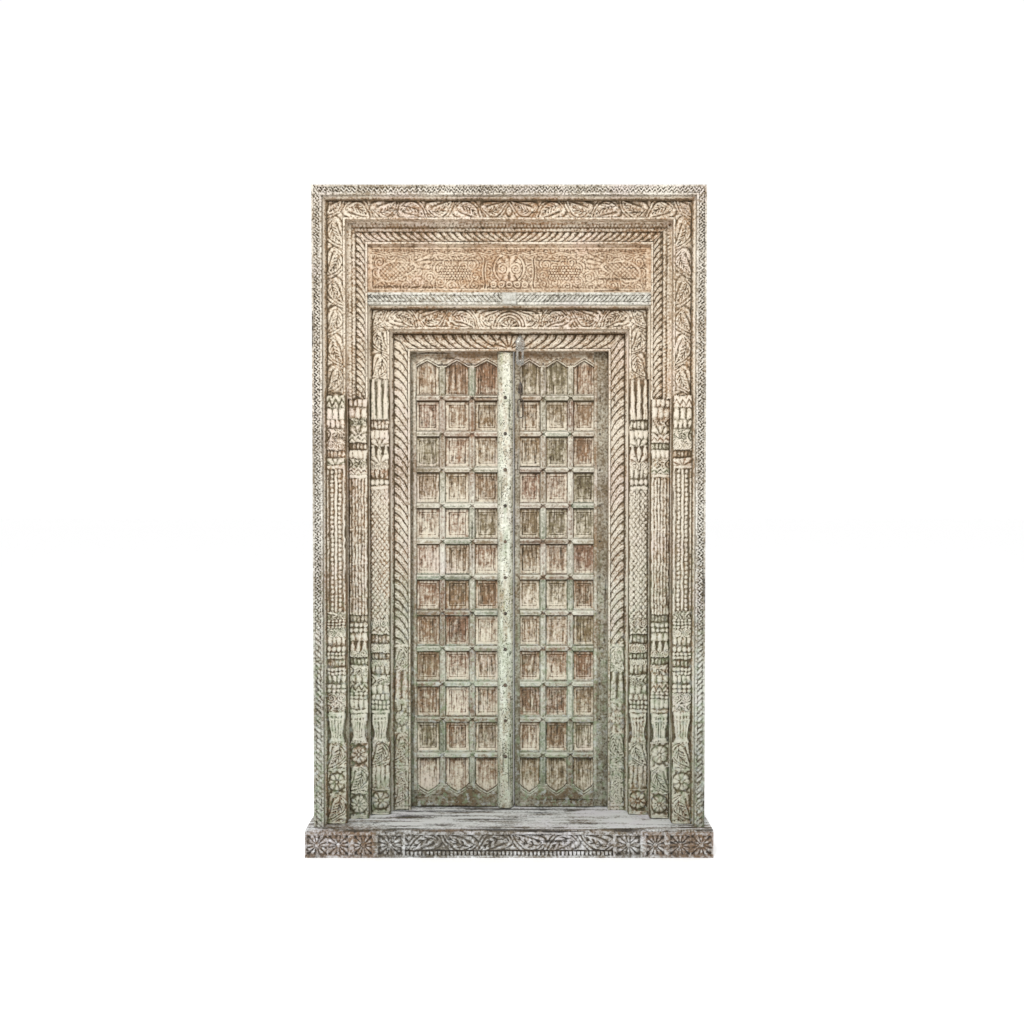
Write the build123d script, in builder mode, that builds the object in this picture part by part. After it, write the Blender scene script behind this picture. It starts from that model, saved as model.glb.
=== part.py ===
from build123d import *

import os
from dataclasses import dataclass
from math import cos, radians, sin, tan

os.makedirs("parts", exist_ok=True)

# Carved temple door: a splayed surround of nested carved bands on a sill, with two pivoted leaves.
# Millimetres. +Z is up and the carved front faces -Y. The origin is on the floor, under the sill's middle.

# Sill
sill_width = 1490
sill_depth = 364
sill_height = 102
sill_nose = 38
sill_arris = 9
sill_carving_sink = 6
sill_carving_margin = 9
sill_scroll_width = 758
sill_rosette_inner_x = 389
sill_rosette_width = 92
sill_block_gap = 17
sill_narrow_width = 70
sill_end_width = 112
sill_petal_radius = 34
sill_petal_valley = 15
sill_vine_pitch = 130
sill_vine_swing = 22
sill_border_height = 15

# Doorway between the innermost bands
opening_width = 764
opening_height = 1772.5

# Nested bands: jamb widths, from the doorway outwards
inner_rope_width = 72.5
inner_scroll_width = 75.5
outer_rope_width = 73.5
outer_scroll_width = 78.5
edge_width = 36

# Nested bands: head heights, from the doorway upwards
inner_rope_head = 75
inner_scroll_head = 85.5
rope_rail_height = 44.5
transom_height = 179
outer_rope_head = 76.5
outer_scroll_head = 79
edge_head = 36

# How far each band's face stands behind the face of the edge moulding, and its thickness
outer_scroll_set = 42
outer_rope_set = 102
inner_scroll_set = 155
inner_rope_set = 210
edge_depth = 100
outer_scroll_depth = 120
outer_rope_depth = 115
inner_scroll_depth = 95
inner_rope_depth = 90

# Mouldings worked on every band
field_sink = 9
edge_sink = 5
strip_bevel = 12
edge_strip_share = 0.22
scroll_strip_share = 0.24
rope_strip_share = 0.3
inner_rope_strip_share = 0.1
lip_share = 0.09
carving_seat = 2

# Leaf-rope carving: slanted rounded ridges
gadroon_pitch = 30
inner_gadroon_pitch = 35
gadroon_valley = 1.2
gadroon_height = 8.4
gadroon_slant = 42
rail_gadroon_pitch = 26
rail_gadroon_height = 5

# Scrolling vine carving
vine_pitch = 105
vine_thickness = 10
vine_rise = 7
vine_clear = 3
leaf_length = 56
leaf_width = 18

# Pilasters carved on the lower part of the three middle bands
pilaster_height = 1598
pilaster_projection = 19
pilaster_cap = 16
inner_pedestal_height = 655
inner_pedestal_projection = 8.4
boss_rise = 6
boss_margin = 12
boss_bevel = 5
reed_width = 14
reed_rise = 5

# Transom
transom_set = 20
transom_depth = 48
transom_fillet = 16
transom_sink = 7
transom_medallion_radius = 52
transom_ring_radius = 43
transom_petal_radius = 38
transom_petal_valley = 17
transom_vine_pitch = 112
transom_vine_swing = 34
transom_vine_thickness = 13
rope_rail_set = 10
rope_rail_depth = 60
rope_rail_margin = 7
key_block_width = 54
key_block_rise = 8

# Leaves
leaf_set = 250
lattice_depth = 18
stile_set = 6
leaf_thickness = 50
leaf_overlap = 18
leaf_clearance = 4
leaf_stop_gap = 2
left_hinge_stile_width = 41
right_hinge_stile_width = 73
left_meeting_stile_width = 63
right_meeting_stile_width = 19
meeting_edge_x = 17
meeting_gap = 5.5
closing_lip_gap = 1.2
closing_lip_depth = 16
astragal_set_back = 2.5
astragal_rise = 30
astragal_chamfer = 9
board_gap = 1
pivot_radius = 15
pivot_length = 38
pivot_clearance = 0.5
pivot_seat_gap = 0.3
jamb_rebate_clearance = 4
pivot_beam_height = 96
pivot_beam_depth = 58

# Lattice on the front of each leaf
column_count = 3
rail_count = 11
first_rail_rise = 205.5
rail_pitch = 138.9
rail_base = 34
rail_top = 15
muntin_base = 33
muntin_top = 15
muntin_drop = 3
plaque_margin = 7
plaque_height = 13
plaque_top = 6
plaque_rise = 4
arch_spring = 61
arch_rise = 24
sill_arch_spring = 88
sill_arch_rise = 31
arch_chamfer = 6

# Ledges on the back of each leaf
ledge_count = 4
ledge_height = 85
ledge_thickness = 22
ledge_heel_clear = 30
ledge_end_margin = 6
ledge_first_rise = 150

# Rose-head nails on the astragal
nail_head = 15
nail_rise = 6
nail_bevel = 4.5

# Slotted hasp hinged on a plate on the lintel
hasp_x = 41
hasp_plate_width = 34
hasp_plate_height = 60
hasp_plate_thickness = 5
hasp_plate_shoulder = 33
hasp_plate_rise = 3
knuckle_size = 11
knuckle_length = 13
knuckle_gap = 0.5
knuckle_web = 7
hasp_pin_size = 5
hasp_pin_clearance = 0.5
hasp_swing_gap = 0.8
hasp_width = 30
hasp_length = 68
hasp_thickness = 5
hasp_slot_width = 12
hasp_slot_length = 34
hasp_slot_drop = 12
hasp_corner = 9
hasp_slot_corner = 4

# Staple, link and ring on the right leaf
staple_x = 43
staple_rise = 39
staple_width = 18
staple_height = 48
staple_foot_drop = 20
staple_shoulder = 28
staple_thickness = 4
staple_eye_width = 15
staple_reach = 14
chain_bar = 4.5
chain_gap = 0.3
link_width = 18
link_length = 58
ring_width = 25
ring_length = 76

# Places worked out from the sizes above
front_y = -sill_depth / 2 + sill_nose
half_opening = opening_width / 2
opening_top = sill_height + opening_height
leaf_front_y = front_y + leaf_set
stile_front_y = leaf_front_y + stile_set
board_front_y = leaf_front_y + lattice_depth
leaf_back_y = leaf_front_y + leaf_thickness
leaf_bottom = sill_height + leaf_clearance
leaf_top = opening_top + leaf_overlap
beam_bottom = leaf_top + leaf_clearance
heel_radius = (leaf_back_y - stile_front_y) / 2
pivot_y = stile_front_y + heel_radius
pivot_x = half_opening + leaf_overlap - heel_radius


@dataclass
class Band:
    """One of the nested frames: half widths and heights at its edges, its border plane, its thickness."""

    name: str
    outer_x: float
    inner_x: float
    outer_z: float
    inner_z: float
    face_y: float
    depth: float
    sink: float
    strip_share: float
    bevel: float

    @property
    def field_y(self):
        return self.face_y + self.sink

    def jamb_x(self, share):
        return -self.outer_x + share * (self.outer_x - self.inner_x)

    def head_z(self, share):
        return self.outer_z - share * (self.outer_z - self.inner_z)

    @property
    def field_share(self):
        return 1 - lip_share - self.strip_share

    @property
    def field_width(self):
        return self.field_share * (self.outer_x - self.inner_x)

    @property
    def field_height(self):
        return self.field_share * (self.outer_z - self.inner_z)


def nested_bands():
    """The five frames, each starting where the one inside it ends."""
    x = [half_opening]
    for width in (inner_rope_width, inner_scroll_width, outer_rope_width, outer_scroll_width, edge_width):
        x.append(x[-1] + width)
    inner_scroll_z = opening_top + inner_rope_head
    transom_foot = inner_scroll_z + inner_scroll_head
    outer_rope_z = transom_foot + rope_rail_height + transom_height
    outer_scroll_z = outer_rope_z + outer_rope_head
    edge_z = outer_scroll_z + outer_scroll_head
    return (
        Band("edge", x[5], x[4], edge_z + edge_head, edge_z,
             front_y, edge_depth, edge_sink, edge_strip_share, 0),
        Band("outer_scroll", x[4], x[3], edge_z, outer_scroll_z,
             front_y + outer_scroll_set, outer_scroll_depth, field_sink, scroll_strip_share, strip_bevel),
        Band("outer_rope", x[3], x[2], outer_scroll_z, outer_rope_z,
             front_y + outer_rope_set, outer_rope_depth, field_sink, rope_strip_share, strip_bevel),
        Band("inner_scroll", x[2], x[1], transom_foot, inner_scroll_z,
             front_y + inner_scroll_set, inner_scroll_depth, field_sink, scroll_strip_share, strip_bevel),
        Band("inner_rope", x[1], x[0], inner_scroll_z, opening_top,
             front_y + inner_rope_set, inner_rope_depth, field_sink, inner_rope_strip_share, strip_bevel),
    )


edge, outer_scroll, outer_rope, inner_scroll, inner_rope = nested_bands()
rebate_y = leaf_front_y - leaf_stop_gap
rebate_width = leaf_overlap + jamb_rebate_clearance
pilaster_top = sill_height + pilaster_height
pedestal_top = sill_height + inner_pedestal_height


# Carving shared by the bands

def gadroons(plane, length, field, pitch, height, slant):
    """Ridges side by side along the plane's x, run across the field at a slant."""
    count = max(1, round(length / pitch))
    step = length / count
    crest_share = 0.5
    along = plane.x_dir * sin(radians(slant))
    across = plane.z_dir * cos(radians(slant))
    outline = [(0, -carving_seat)]
    for i in range(count):
        outline += [(i * step, gadroon_valley), ((i + crest_share) * step, height)]
    outline += [(length, gadroon_valley), (length, -carving_seat)]
    with BuildPart() as run:
        with BuildSketch(plane):
            with BuildLine():
                Polyline(*outline, close=True)
            make_face()
        extrude(amount=field / cos(radians(slant)), dir=across + along)
    return run.part


def vine(plane, length, pitch, swing, thickness, rise):
    """A waving stem along the plane's x, standing on the plane, with a leaf in each bend."""
    count = max(2, round(length / pitch))
    step = length / count
    half = thickness / 2
    side = [1 if i % 2 == 0 else -1 for i in range(count)]
    bend_shares = ((0, 0), (0.3, 1), (0.7, 1))
    leaf_half_share = 0.5
    leaf_belly_share = 0.175
    route = [((i + along) * step, side[i] * out * swing) for i in range(count) for along, out in bend_shares]
    route.append((length, 0))
    upper = [(x, y + half) for x, y in route]
    lower = [(x, y - half) for x, y in reversed(route)]
    with BuildPart() as stem:
        with BuildSketch(plane.offset(-carving_seat)):
            with BuildLine():
                Polyline(*upper, *lower, close=True)
            make_face()
            for i in range(count):
                middle = (i + leaf_half_share) * step
                low = -side[i] * swing
                with BuildLine():
                    Polyline(
                        (middle - leaf_length * leaf_half_share, low),
                        (middle - leaf_length * leaf_belly_share, low + side[i] * leaf_width),
                        (middle + leaf_length * leaf_half_share, low + side[i] * leaf_width / 2),
                        (middle, low),
                        close=True,
                    )
                make_face()
        extrude(amount=rise + carving_seat)
    return stem.part


def rosette(plane, radius, valley, petals, rise):
    """A pointed-petal flower standing on the plane, round its origin."""
    turn = 180 / petals
    outline = []
    for i in range(2 * petals):
        reach = radius if i % 2 == 0 else valley
        outline.append((reach * cos(radians(i * turn)), reach * sin(radians(i * turn))))
    with BuildPart() as flower:
        with BuildSketch(plane.offset(-carving_seat)):
            with BuildLine():
                Polyline(*outline, close=True)
            make_face()
        extrude(amount=rise + carving_seat)
    return flower.part


# Upright outlines of the pilasters: shares of each stage's height, and shares of the projection
block_shares = ((0, 0.35), (0.07, 0.8), (0.93, 0.8))
vase_shares = ((0, 0.3), (0.08, 0.75), (0.22, 0.5), (0.72, 0.95), (0.9, 1))
tier_shares = ((0, 0.4), (0.14, 0.95), (0.45, 1), (0.6, 0.6), (0.82, 0.7))
shaft_shares = ((0, 0.5), (0.03, 0.9), (0.06, 0.66), (0.94, 0.66), (0.97, 0.9))
diamond_shares = ((0, 0.4), (0.5, 1))
# Stages from the sill upwards: share of the height where each starts
pilaster_stage_shares = (
    (0, block_shares), (0.06, block_shares), (0.12, block_shares), (0.18, vase_shares),
    (0.25, tier_shares), (0.31, tier_shares), (0.37, tier_shares), (0.43, shaft_shares),
    (0.8, tier_shares), (0.865, tier_shares), (0.93, tier_shares),
)
pedestal_stage_shares = (
    (0, block_shares), (0.22, block_shares), (0.44, block_shares),
    (0.6, diamond_shares), (0.73, diamond_shares), (0.86, diamond_shares),
)
boss_stages = 3
shaft_stage = 7


def stage_heights(stages, height):
    """Start and end of each stage above the sill, with its outline."""
    starts = [sill_height + share * height for share, _ in stages]
    ends = starts[1:] + [sill_height + height]
    return [(low, high, shares) for low, high, (_, shares) in zip(starts, ends, stages)]


def pilaster(band, stages, height, projection):
    """Stacked stages on a jamb's sunk field, from the sill up, with faceted bosses on the lowest blocks."""
    left = band.jamb_x(band.strip_share)
    heights = stage_heights(stages, height)
    outline = [(band.field_y + carving_seat, sill_height)]
    for low, high, shares in heights:
        outline += [(band.field_y - out * projection, low + up * (high - low)) for up, out in shares]
    outline.append((band.field_y + carving_seat, sill_height + height))
    block_share = block_shares[1][1]
    boss_plane = Plane(
        (left + band.field_width / 2, band.field_y - block_share * projection, 0),
        x_dir=(1, 0, 0),
        z_dir=(0, -1, 0),
    )
    with BuildPart() as column:
        with BuildSketch(Plane.YZ.offset(left)):
            with BuildLine():
                Polyline(*outline, close=True)
            make_face()
        extrude(amount=band.field_width)
        for low, high, _ in heights[:boss_stages]:
            with BuildSketch(boss_plane):
                with Locations((0, (low + high) / 2)):
                    Rectangle(band.field_width - 2 * boss_margin, high - low - 2 * boss_margin)
            extrude(amount=boss_rise)
        boss_faces = column.faces().group_by(Axis.Y)[0]
        chamfer(boss_faces.edges(), length=boss_bevel)
    return column.part


def shaft_reed(band):
    """A flat-topped reed up the middle of a pilaster's shaft."""
    low, high, shares = stage_heights(pilaster_stage_shares, pilaster_height)[shaft_stage]
    body_share = shares[2][1]
    start = low + shares[2][0] * (high - low)
    end = low + shares[3][0] * (high - low)
    face_y = band.field_y - body_share * pilaster_projection
    middle = band.jamb_x(band.strip_share) + band.field_width / 2
    with BuildPart() as reed:
        with BuildSketch(Plane.XY.offset(start)):
            with BuildLine():
                Polyline(
                    (middle - reed_width / 2, face_y + carving_seat),
                    (middle - reed_width / 2, face_y),
                    (middle - reed_width / 4, face_y - reed_rise),
                    (middle + reed_width / 4, face_y - reed_rise),
                    (middle + reed_width / 2, face_y),
                    (middle + reed_width / 2, face_y + carving_seat),
                    close=True,
                )
            make_face()
        extrude(amount=end - start)
    return reed.part


# Members of one band

def front_outline(band):
    """Across a band from its outer edge: bevelled strip, sunk field and raised lip."""
    strip = band.strip_share
    lip = 1 - lip_share if band.bevel else 1 - band.strip_share
    return [
        (0, band.face_y - band.bevel), (strip, band.face_y), (strip, band.field_y),
        (lip, band.field_y), (lip, band.face_y), (1, band.face_y),
    ]


def back_outline(band, member_width):
    """The plain back of a band, rebated for the leaf on the innermost one."""
    back_y = band.face_y + band.depth
    if band is inner_rope:
        rebate_share = 1 - rebate_width / member_width
        return [(1, rebate_y), (rebate_share, rebate_y), (rebate_share, back_y), (0, back_y)]
    return [(1, back_y), (0, back_y)]


def mitre(band):
    """The left mitre, through a band's outer and inner corners, facing the head."""
    return Plane(
        (-band.outer_x, 0, band.outer_z),
        x_dir=(0, 1, 0),
        z_dir=(band.outer_z - band.inner_z, 0, band.outer_x - band.inner_x),
    )


def left_jamb(band, carvings):
    """An upright standing on the sill, mitred to its head."""
    outline = front_outline(band) + back_outline(band, band.outer_x - band.inner_x)
    with BuildPart() as jamb:
        with BuildSketch(Plane.XY.offset(sill_height)):
            with BuildLine():
                Polyline(*[(band.jamb_x(share), y) for share, y in outline], close=True)
            make_face()
        extrude(amount=band.outer_z - sill_height)
        for carving in carvings:
            add(carving)
        split(bisect_by=mitre(band), keep=Keep.BOTTOM)
        if band is inner_rope:
            with BuildSketch(Plane.XY.offset(beam_bottom)):
                with Locations((-band.outer_x, rebate_y)):
                    Rectangle(band.outer_x, band.depth, align=(Align.MIN, Align.MIN))
            extrude(amount=band.outer_z - beam_bottom, mode=Mode.SUBTRACT)
    return jamb.part


def head(band, carvings):
    """The level member over the doorway, mitred at both ends, made as a left half and mirrored."""
    outline = front_outline(band)
    back_y = rebate_y if band is inner_rope else band.face_y + band.depth
    outline += [(1, back_y), (0, back_y)]
    with BuildPart() as beam:
        with BuildSketch(Plane.YZ.offset(-band.outer_x)):
            with BuildLine():
                Polyline(*[(y, band.head_z(share)) for share, y in outline], close=True)
            make_face()
        extrude(amount=band.outer_x)
        for carving in carvings:
            add(carving)
        split(bisect_by=mitre(band), keep=Keep.TOP)
        mirror(about=Plane.YZ)
    return beam.part


def jamb_gadroons(band, low, pitch):
    """Leaf-rope on a left jamb, falling towards the doorway, from a level up to the mitre."""
    drop = band.field_width * tan(radians(gadroon_slant))
    plane = Plane((band.jamb_x(band.strip_share), band.field_y, low), x_dir=(0, 0, 1), z_dir=(1, 0, 0))
    length = band.outer_z + drop - low
    with BuildPart() as rope:
        add(gadroons(plane, length, band.field_width, pitch, gadroon_height, -gadroon_slant))
        split(bisect_by=Plane.XY.offset(low), keep=Keep.TOP)
    return rope.part


def head_gadroons(band, pitch):
    """Leaf-rope on the left half of a head, leaning towards the middle."""
    run = band.field_height * tan(radians(gadroon_slant))
    plane = Plane(
        (-band.outer_x - run, band.field_y, band.head_z(band.strip_share)), x_dir=(1, 0, 0), z_dir=(0, 0, -1)
    )
    with BuildPart() as rope:
        add(gadroons(plane, band.outer_x + run, band.field_height, pitch, gadroon_height, gadroon_slant))
        split(bisect_by=Plane.YZ, keep=Keep.BOTTOM)
    return rope.part


def jamb_vine(band, low):
    """Scrolling vine on a left jamb, from the band's inner corner down to a level."""
    top = band.inner_z
    plane = Plane(
        (band.jamb_x(band.strip_share + band.field_share / 2), band.field_y, top),
        x_dir=(0, 0, -1),
        z_dir=(0, -1, 0),
    )
    swing = band.field_width / 2 - vine_thickness / 2 - vine_clear
    return vine(plane, top - low, vine_pitch, swing, vine_thickness, vine_rise)


def head_vine(band):
    """Scrolling vine on the left half of a head, from the mitre to the middle."""
    plane = Plane(
        (-band.inner_x, band.field_y, band.head_z(band.strip_share + band.field_share / 2)),
        x_dir=(1, 0, 0),
        z_dir=(0, -1, 0),
    )
    swing = band.field_height / 2 - vine_thickness / 2 - vine_clear
    return vine(plane, band.inner_x, vine_pitch, swing, vine_thickness, vine_rise)


def full_pilaster(band):
    return [pilaster(band, pilaster_stage_shares, pilaster_height, pilaster_projection), shaft_reed(band)]


band_carvings = {
    "edge": ([], []),
    "outer_scroll": (
        full_pilaster(outer_scroll) + [jamb_vine(outer_scroll, pilaster_top + pilaster_cap)],
        [head_vine(outer_scroll)],
    ),
    "outer_rope": (
        full_pilaster(outer_rope) + [jamb_gadroons(outer_rope, pilaster_top + pilaster_cap, gadroon_pitch)],
        [head_gadroons(outer_rope, gadroon_pitch)],
    ),
    "inner_scroll": (
        full_pilaster(inner_scroll) + [jamb_vine(inner_scroll, pilaster_top + pilaster_cap)],
        [head_vine(inner_scroll)],
    ),
    "inner_rope": (
        [
            pilaster(inner_rope, pedestal_stage_shares, inner_pedestal_height, inner_pedestal_projection),
            jamb_gadroons(inner_rope, pedestal_top, inner_gadroon_pitch),
        ],
        [head_gadroons(inner_rope, inner_gadroon_pitch)],
    ),
}


def save(part, name):
    part.label = name
    export_step(part, f"parts/{name}.step")


for band in (edge, outer_scroll, outer_rope, inner_scroll, inner_rope):
    jamb_carvings, head_carvings = band_carvings[band.name]
    with BuildPart() as left_upright:
        add(left_jamb(band, jamb_carvings))
    with BuildPart() as right_upright:
        mirror(left_upright.part, about=Plane.YZ)
    with BuildPart() as crosspiece:
        add(head(band, head_carvings))
    save(left_upright.part, f"left_{band.name}_jamb")
    save(right_upright.part, f"right_{band.name}_jamb")
    save(crosspiece.part, f"{band.name}_head")


# Sill: one beam with sunk carved fields on its front and a socket for each leaf's lower pivot
sill_front = Plane((0, -sill_depth / 2, 0), x_dir=(1, 0, 0), z_dir=(0, -1, 0))
sill_field = sill_front.offset(-sill_carving_sink)
sill_field_height = sill_height - 2 * sill_carving_margin - sill_arris
sill_field_z = sill_carving_margin + sill_field_height / 2
sill_narrow_x = sill_rosette_inner_x + sill_rosette_width + sill_block_gap
sill_end_x = sill_narrow_x + sill_narrow_width + sill_block_gap
sill_fields = [(-sill_scroll_width / 2, sill_scroll_width)]
for inner_x, width in (
    (sill_rosette_inner_x, sill_rosette_width),
    (sill_narrow_x, sill_narrow_width),
    (sill_end_x, sill_end_width),
):
    sill_fields += [(inner_x, width), (-inner_x - width, width)]
sill_flowers = [
    side * (inner_x + width / 2)
    for side in (-1, 1)
    for inner_x, width in ((sill_rosette_inner_x, sill_rosette_width), (sill_end_x, sill_end_width))
]
sill_petals = 8
vine_foot = sill_carving_margin + sill_border_height
sill_vine_z = (vine_foot + sill_field_height + sill_carving_margin) / 2
with BuildPart() as sill:
    with BuildSketch(Plane.XY):
        Rectangle(sill_width, sill_depth)
    extrude(amount=sill_height)
    top_edges = sill.faces().sort_by(Axis.Z)[-1].edges()
    chamfer(top_edges.sort_by(Axis.Y)[0], length=sill_arris)
    for left_x, width in sill_fields:
        with BuildSketch(sill_front):
            with Locations((left_x + width / 2, sill_field_z)):
                Rectangle(width, sill_field_height)
        extrude(amount=-sill_carving_sink, mode=Mode.SUBTRACT)
    for flower_x in sill_flowers:
        flower_plane = Plane(
            (flower_x, -sill_depth / 2 + sill_carving_sink, sill_field_z), x_dir=(1, 0, 0), z_dir=(0, -1, 0)
        )
        add(rosette(flower_plane, sill_petal_radius, sill_petal_valley, sill_petals, sill_carving_sink))
    vine_plane = Plane(
        (-sill_scroll_width / 2, -sill_depth / 2 + sill_carving_sink, sill_vine_z),
        x_dir=(1, 0, 0),
        z_dir=(0, -1, 0),
    )
    add(
        vine(
            vine_plane, sill_scroll_width, sill_vine_pitch, sill_vine_swing,
            vine_thickness, sill_carving_sink,
        )
    )
    with BuildSketch(sill_field.offset(-carving_seat)):
        with Locations((0, sill_carving_margin)):
            Rectangle(sill_scroll_width, sill_border_height / 2, align=(Align.CENTER, Align.MIN))
    extrude(amount=sill_carving_sink / 2 + carving_seat)
    with Locations((-pivot_x, pivot_y, sill_height), (pivot_x, pivot_y, sill_height)):
        Hole(
            radius=pivot_radius + pivot_clearance,
            depth=pivot_length - leaf_clearance + pivot_seat_gap,
        )
save(sill.part, "sill")


# Transom between the two rope bands: carved panel over a rope rail with a plain key block
transom_foot_z = inner_scroll.outer_z + rope_rail_height
transom_top_z = transom_foot_z + transom_height
transom_face_y = outer_rope.face_y + transom_set
transom_field_height = transom_height - 2 * transom_fillet
transom_middle_z = transom_foot_z + transom_height / 2
transom_petals = 10
medallion_plane = Plane(
    (0, transom_face_y + transom_sink, transom_middle_z), x_dir=(1, 0, 0), z_dir=(0, -1, 0)
)
transom_vine_start = Plane(
    (transom_medallion_radius + transom_fillet, transom_face_y + transom_sink, transom_middle_z),
    x_dir=(1, 0, 0),
    z_dir=(0, -1, 0),
)
transom_vine_length = outer_rope.inner_x - 2 * transom_fillet - transom_medallion_radius
with BuildPart() as transom_panel:
    with BuildSketch(Plane((0, transom_face_y, 0), x_dir=(1, 0, 0), z_dir=(0, 1, 0))):
        with Locations((0, -transom_middle_z)):
            Rectangle(2 * outer_rope.inner_x, transom_height)
    extrude(amount=transom_depth)
    with BuildSketch(medallion_plane):
        Rectangle(2 * (outer_rope.inner_x - transom_fillet), transom_field_height)
    extrude(amount=transom_sink, mode=Mode.SUBTRACT)
    add(
        vine(
            transom_vine_start, transom_vine_length, transom_vine_pitch, transom_vine_swing,
            transom_vine_thickness, transom_sink,
        )
    )
    mirror(about=Plane.YZ)
    with BuildSketch(medallion_plane.offset(-carving_seat)):
        RegularPolygon(transom_medallion_radius, 2 * transom_petals)
        RegularPolygon(transom_ring_radius, 2 * transom_petals, mode=Mode.SUBTRACT)
    extrude(amount=transom_sink + carving_seat)
    add(rosette(medallion_plane, transom_petal_radius, transom_petal_valley, transom_petals, transom_sink))
save(transom_panel.part, "transom_panel")

rope_rail_face_y = outer_rope.face_y + rope_rail_set
rope_field = rope_rail_height - 2 * rope_rail_margin
rope_rail_top = inner_scroll.outer_z + rope_rail_height
rope_shift = rope_field * tan(radians(gadroon_slant))
rope_start = Plane(
    (
        -outer_rope.inner_x - rope_shift,
        rope_rail_face_y + rail_gadroon_height,
        rope_rail_top - rope_rail_margin,
    ),
    x_dir=(1, 0, 0),
    z_dir=(0, 0, -1),
)
with BuildPart() as rail_rope:
    add(
        gadroons(
            rope_start, outer_rope.inner_x + rope_shift - key_block_width / 2, rope_field,
            rail_gadroon_pitch, rail_gadroon_height, gadroon_slant,
        )
    )
    split(bisect_by=Plane.YZ.offset(-key_block_width / 2), keep=Keep.BOTTOM)
    split(bisect_by=Plane.YZ.offset(-outer_rope.inner_x), keep=Keep.TOP)
with BuildPart() as transom_rope_rail:
    with BuildSketch(Plane.YZ.offset(-outer_rope.inner_x)):
        with BuildLine():
            field_y = rope_rail_face_y + rail_gadroon_height
            Polyline(
                (rope_rail_face_y, inner_scroll.outer_z),
                (rope_rail_face_y, inner_scroll.outer_z + rope_rail_margin),
                (field_y, inner_scroll.outer_z + rope_rail_margin),
                (field_y, rope_rail_top - rope_rail_margin),
                (rope_rail_face_y, rope_rail_top - rope_rail_margin),
                (rope_rail_face_y, rope_rail_top),
                (rope_rail_face_y + rope_rail_depth, rope_rail_top),
                (rope_rail_face_y + rope_rail_depth, inner_scroll.outer_z),
                close=True,
            )
        make_face()
    extrude(amount=outer_rope.inner_x)
    add(rail_rope.part)
    with BuildSketch(Plane.XZ.offset(-rope_rail_face_y)):
        with Locations((-key_block_width / 4, inner_scroll.outer_z)):
            Rectangle(key_block_width / 2, rope_rail_height, align=(Align.CENTER, Align.MIN))
    extrude(amount=-rail_gadroon_height, mode=Mode.SUBTRACT)
    mirror(about=Plane.YZ)
save(transom_rope_rail.part, "transom_rope_rail")

with BuildPart() as rail_key_block:
    with BuildSketch(Plane.XZ.offset(-rope_rail_face_y - rail_gadroon_height)):
        with Locations((0, inner_scroll.outer_z)):
            Rectangle(key_block_width, rope_rail_height, align=(Align.CENTER, Align.MIN))
    extrude(amount=rail_gadroon_height + key_block_rise)
    block_face = rail_key_block.faces().sort_by(Axis.Y)[0]
    chamfer(block_face.edges(), length=key_block_rise / 2)
save(rail_key_block.part, "rail_key_block")


# Beam behind the heads that takes the leaves' upper pivots
with BuildPart() as pivot_beam:
    with BuildSketch(Plane.XY.offset(beam_bottom)):
        with Locations((0, leaf_front_y)):
            Rectangle(2 * inner_rope.outer_x, pivot_beam_depth, align=(Align.CENTER, Align.MIN))
    extrude(amount=pivot_beam_height)
    with Locations(*[Location((x, pivot_y, beam_bottom), (180, 0, 0)) for x in (-pivot_x, pivot_x)]):
        Hole(radius=pivot_radius + pivot_clearance, depth=pivot_length - leaf_clearance + pivot_seat_gap)
save(pivot_beam.part, "pivot_beam")


# Leaves

@dataclass
class Leaf:
    """One leaf: which side its pivot is on, and the x of its stiles and lattice columns."""

    name: str
    side: int
    hinge_inner_x: float
    meeting_inner_x: float
    meeting_outer_x: float

    @property
    def low_x(self):
        return min(self.hinge_inner_x, self.meeting_inner_x)

    @property
    def high_x(self):
        return max(self.hinge_inner_x, self.meeting_inner_x)

    @property
    def column(self):
        return (self.high_x - self.low_x + muntin_base) / column_count

    @property
    def muntin_x(self):
        return [self.low_x + (i + 1) * self.column - muntin_base / 2 for i in range(column_count - 1)]

    @property
    def cells(self):
        """Left and right edge of each column between the muntins."""
        starts = [self.low_x + i * self.column for i in range(column_count)]
        return [(start, start + self.column - muntin_base) for start in starts]


half_leaf = half_opening + leaf_overlap
left_leaf = Leaf("left", -1, -half_leaf + left_hinge_stile_width,
                 meeting_edge_x - left_meeting_stile_width, meeting_edge_x)
right_leaf = Leaf("right", 1, half_leaf - right_hinge_stile_width,
                  meeting_edge_x + meeting_gap + right_meeting_stile_width, meeting_edge_x + meeting_gap)
rail_heights = [sill_height + first_rail_rise + i * rail_pitch for i in range(rail_count)]
lattice_back = Plane((0, board_front_y, 0), x_dir=(1, 0, 0), z_dir=(0, -1, 0))


def hinge_stile(leaf):
    """Outer stile with a rounded heel, turned down at both ends into the pivots."""
    heel_x = leaf.side * pivot_x
    outer_x = heel_x + leaf.side * heel_radius
    with BuildPart() as stile:
        with BuildSketch(Plane.XY.offset(leaf_bottom)):
            with BuildLine():
                ThreePointArc((heel_x, stile_front_y), (outer_x, pivot_y), (heel_x, leaf_back_y))
                Polyline(
                    (heel_x, leaf_back_y), (leaf.hinge_inner_x, leaf_back_y),
                    (leaf.hinge_inner_x, stile_front_y), (heel_x, stile_front_y),
                )
            make_face()
        extrude(amount=leaf_top - leaf_bottom)
        with BuildSketch(Plane.XY.offset(leaf_bottom - pivot_length)):
            with Locations((heel_x, pivot_y)):
                Circle(pivot_radius)
        extrude(amount=pivot_length)
        with BuildSketch(Plane.XY.offset(leaf_top)):
            with Locations((heel_x, pivot_y)):
                Circle(pivot_radius)
        extrude(amount=pivot_length)
    return stile.part


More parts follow.
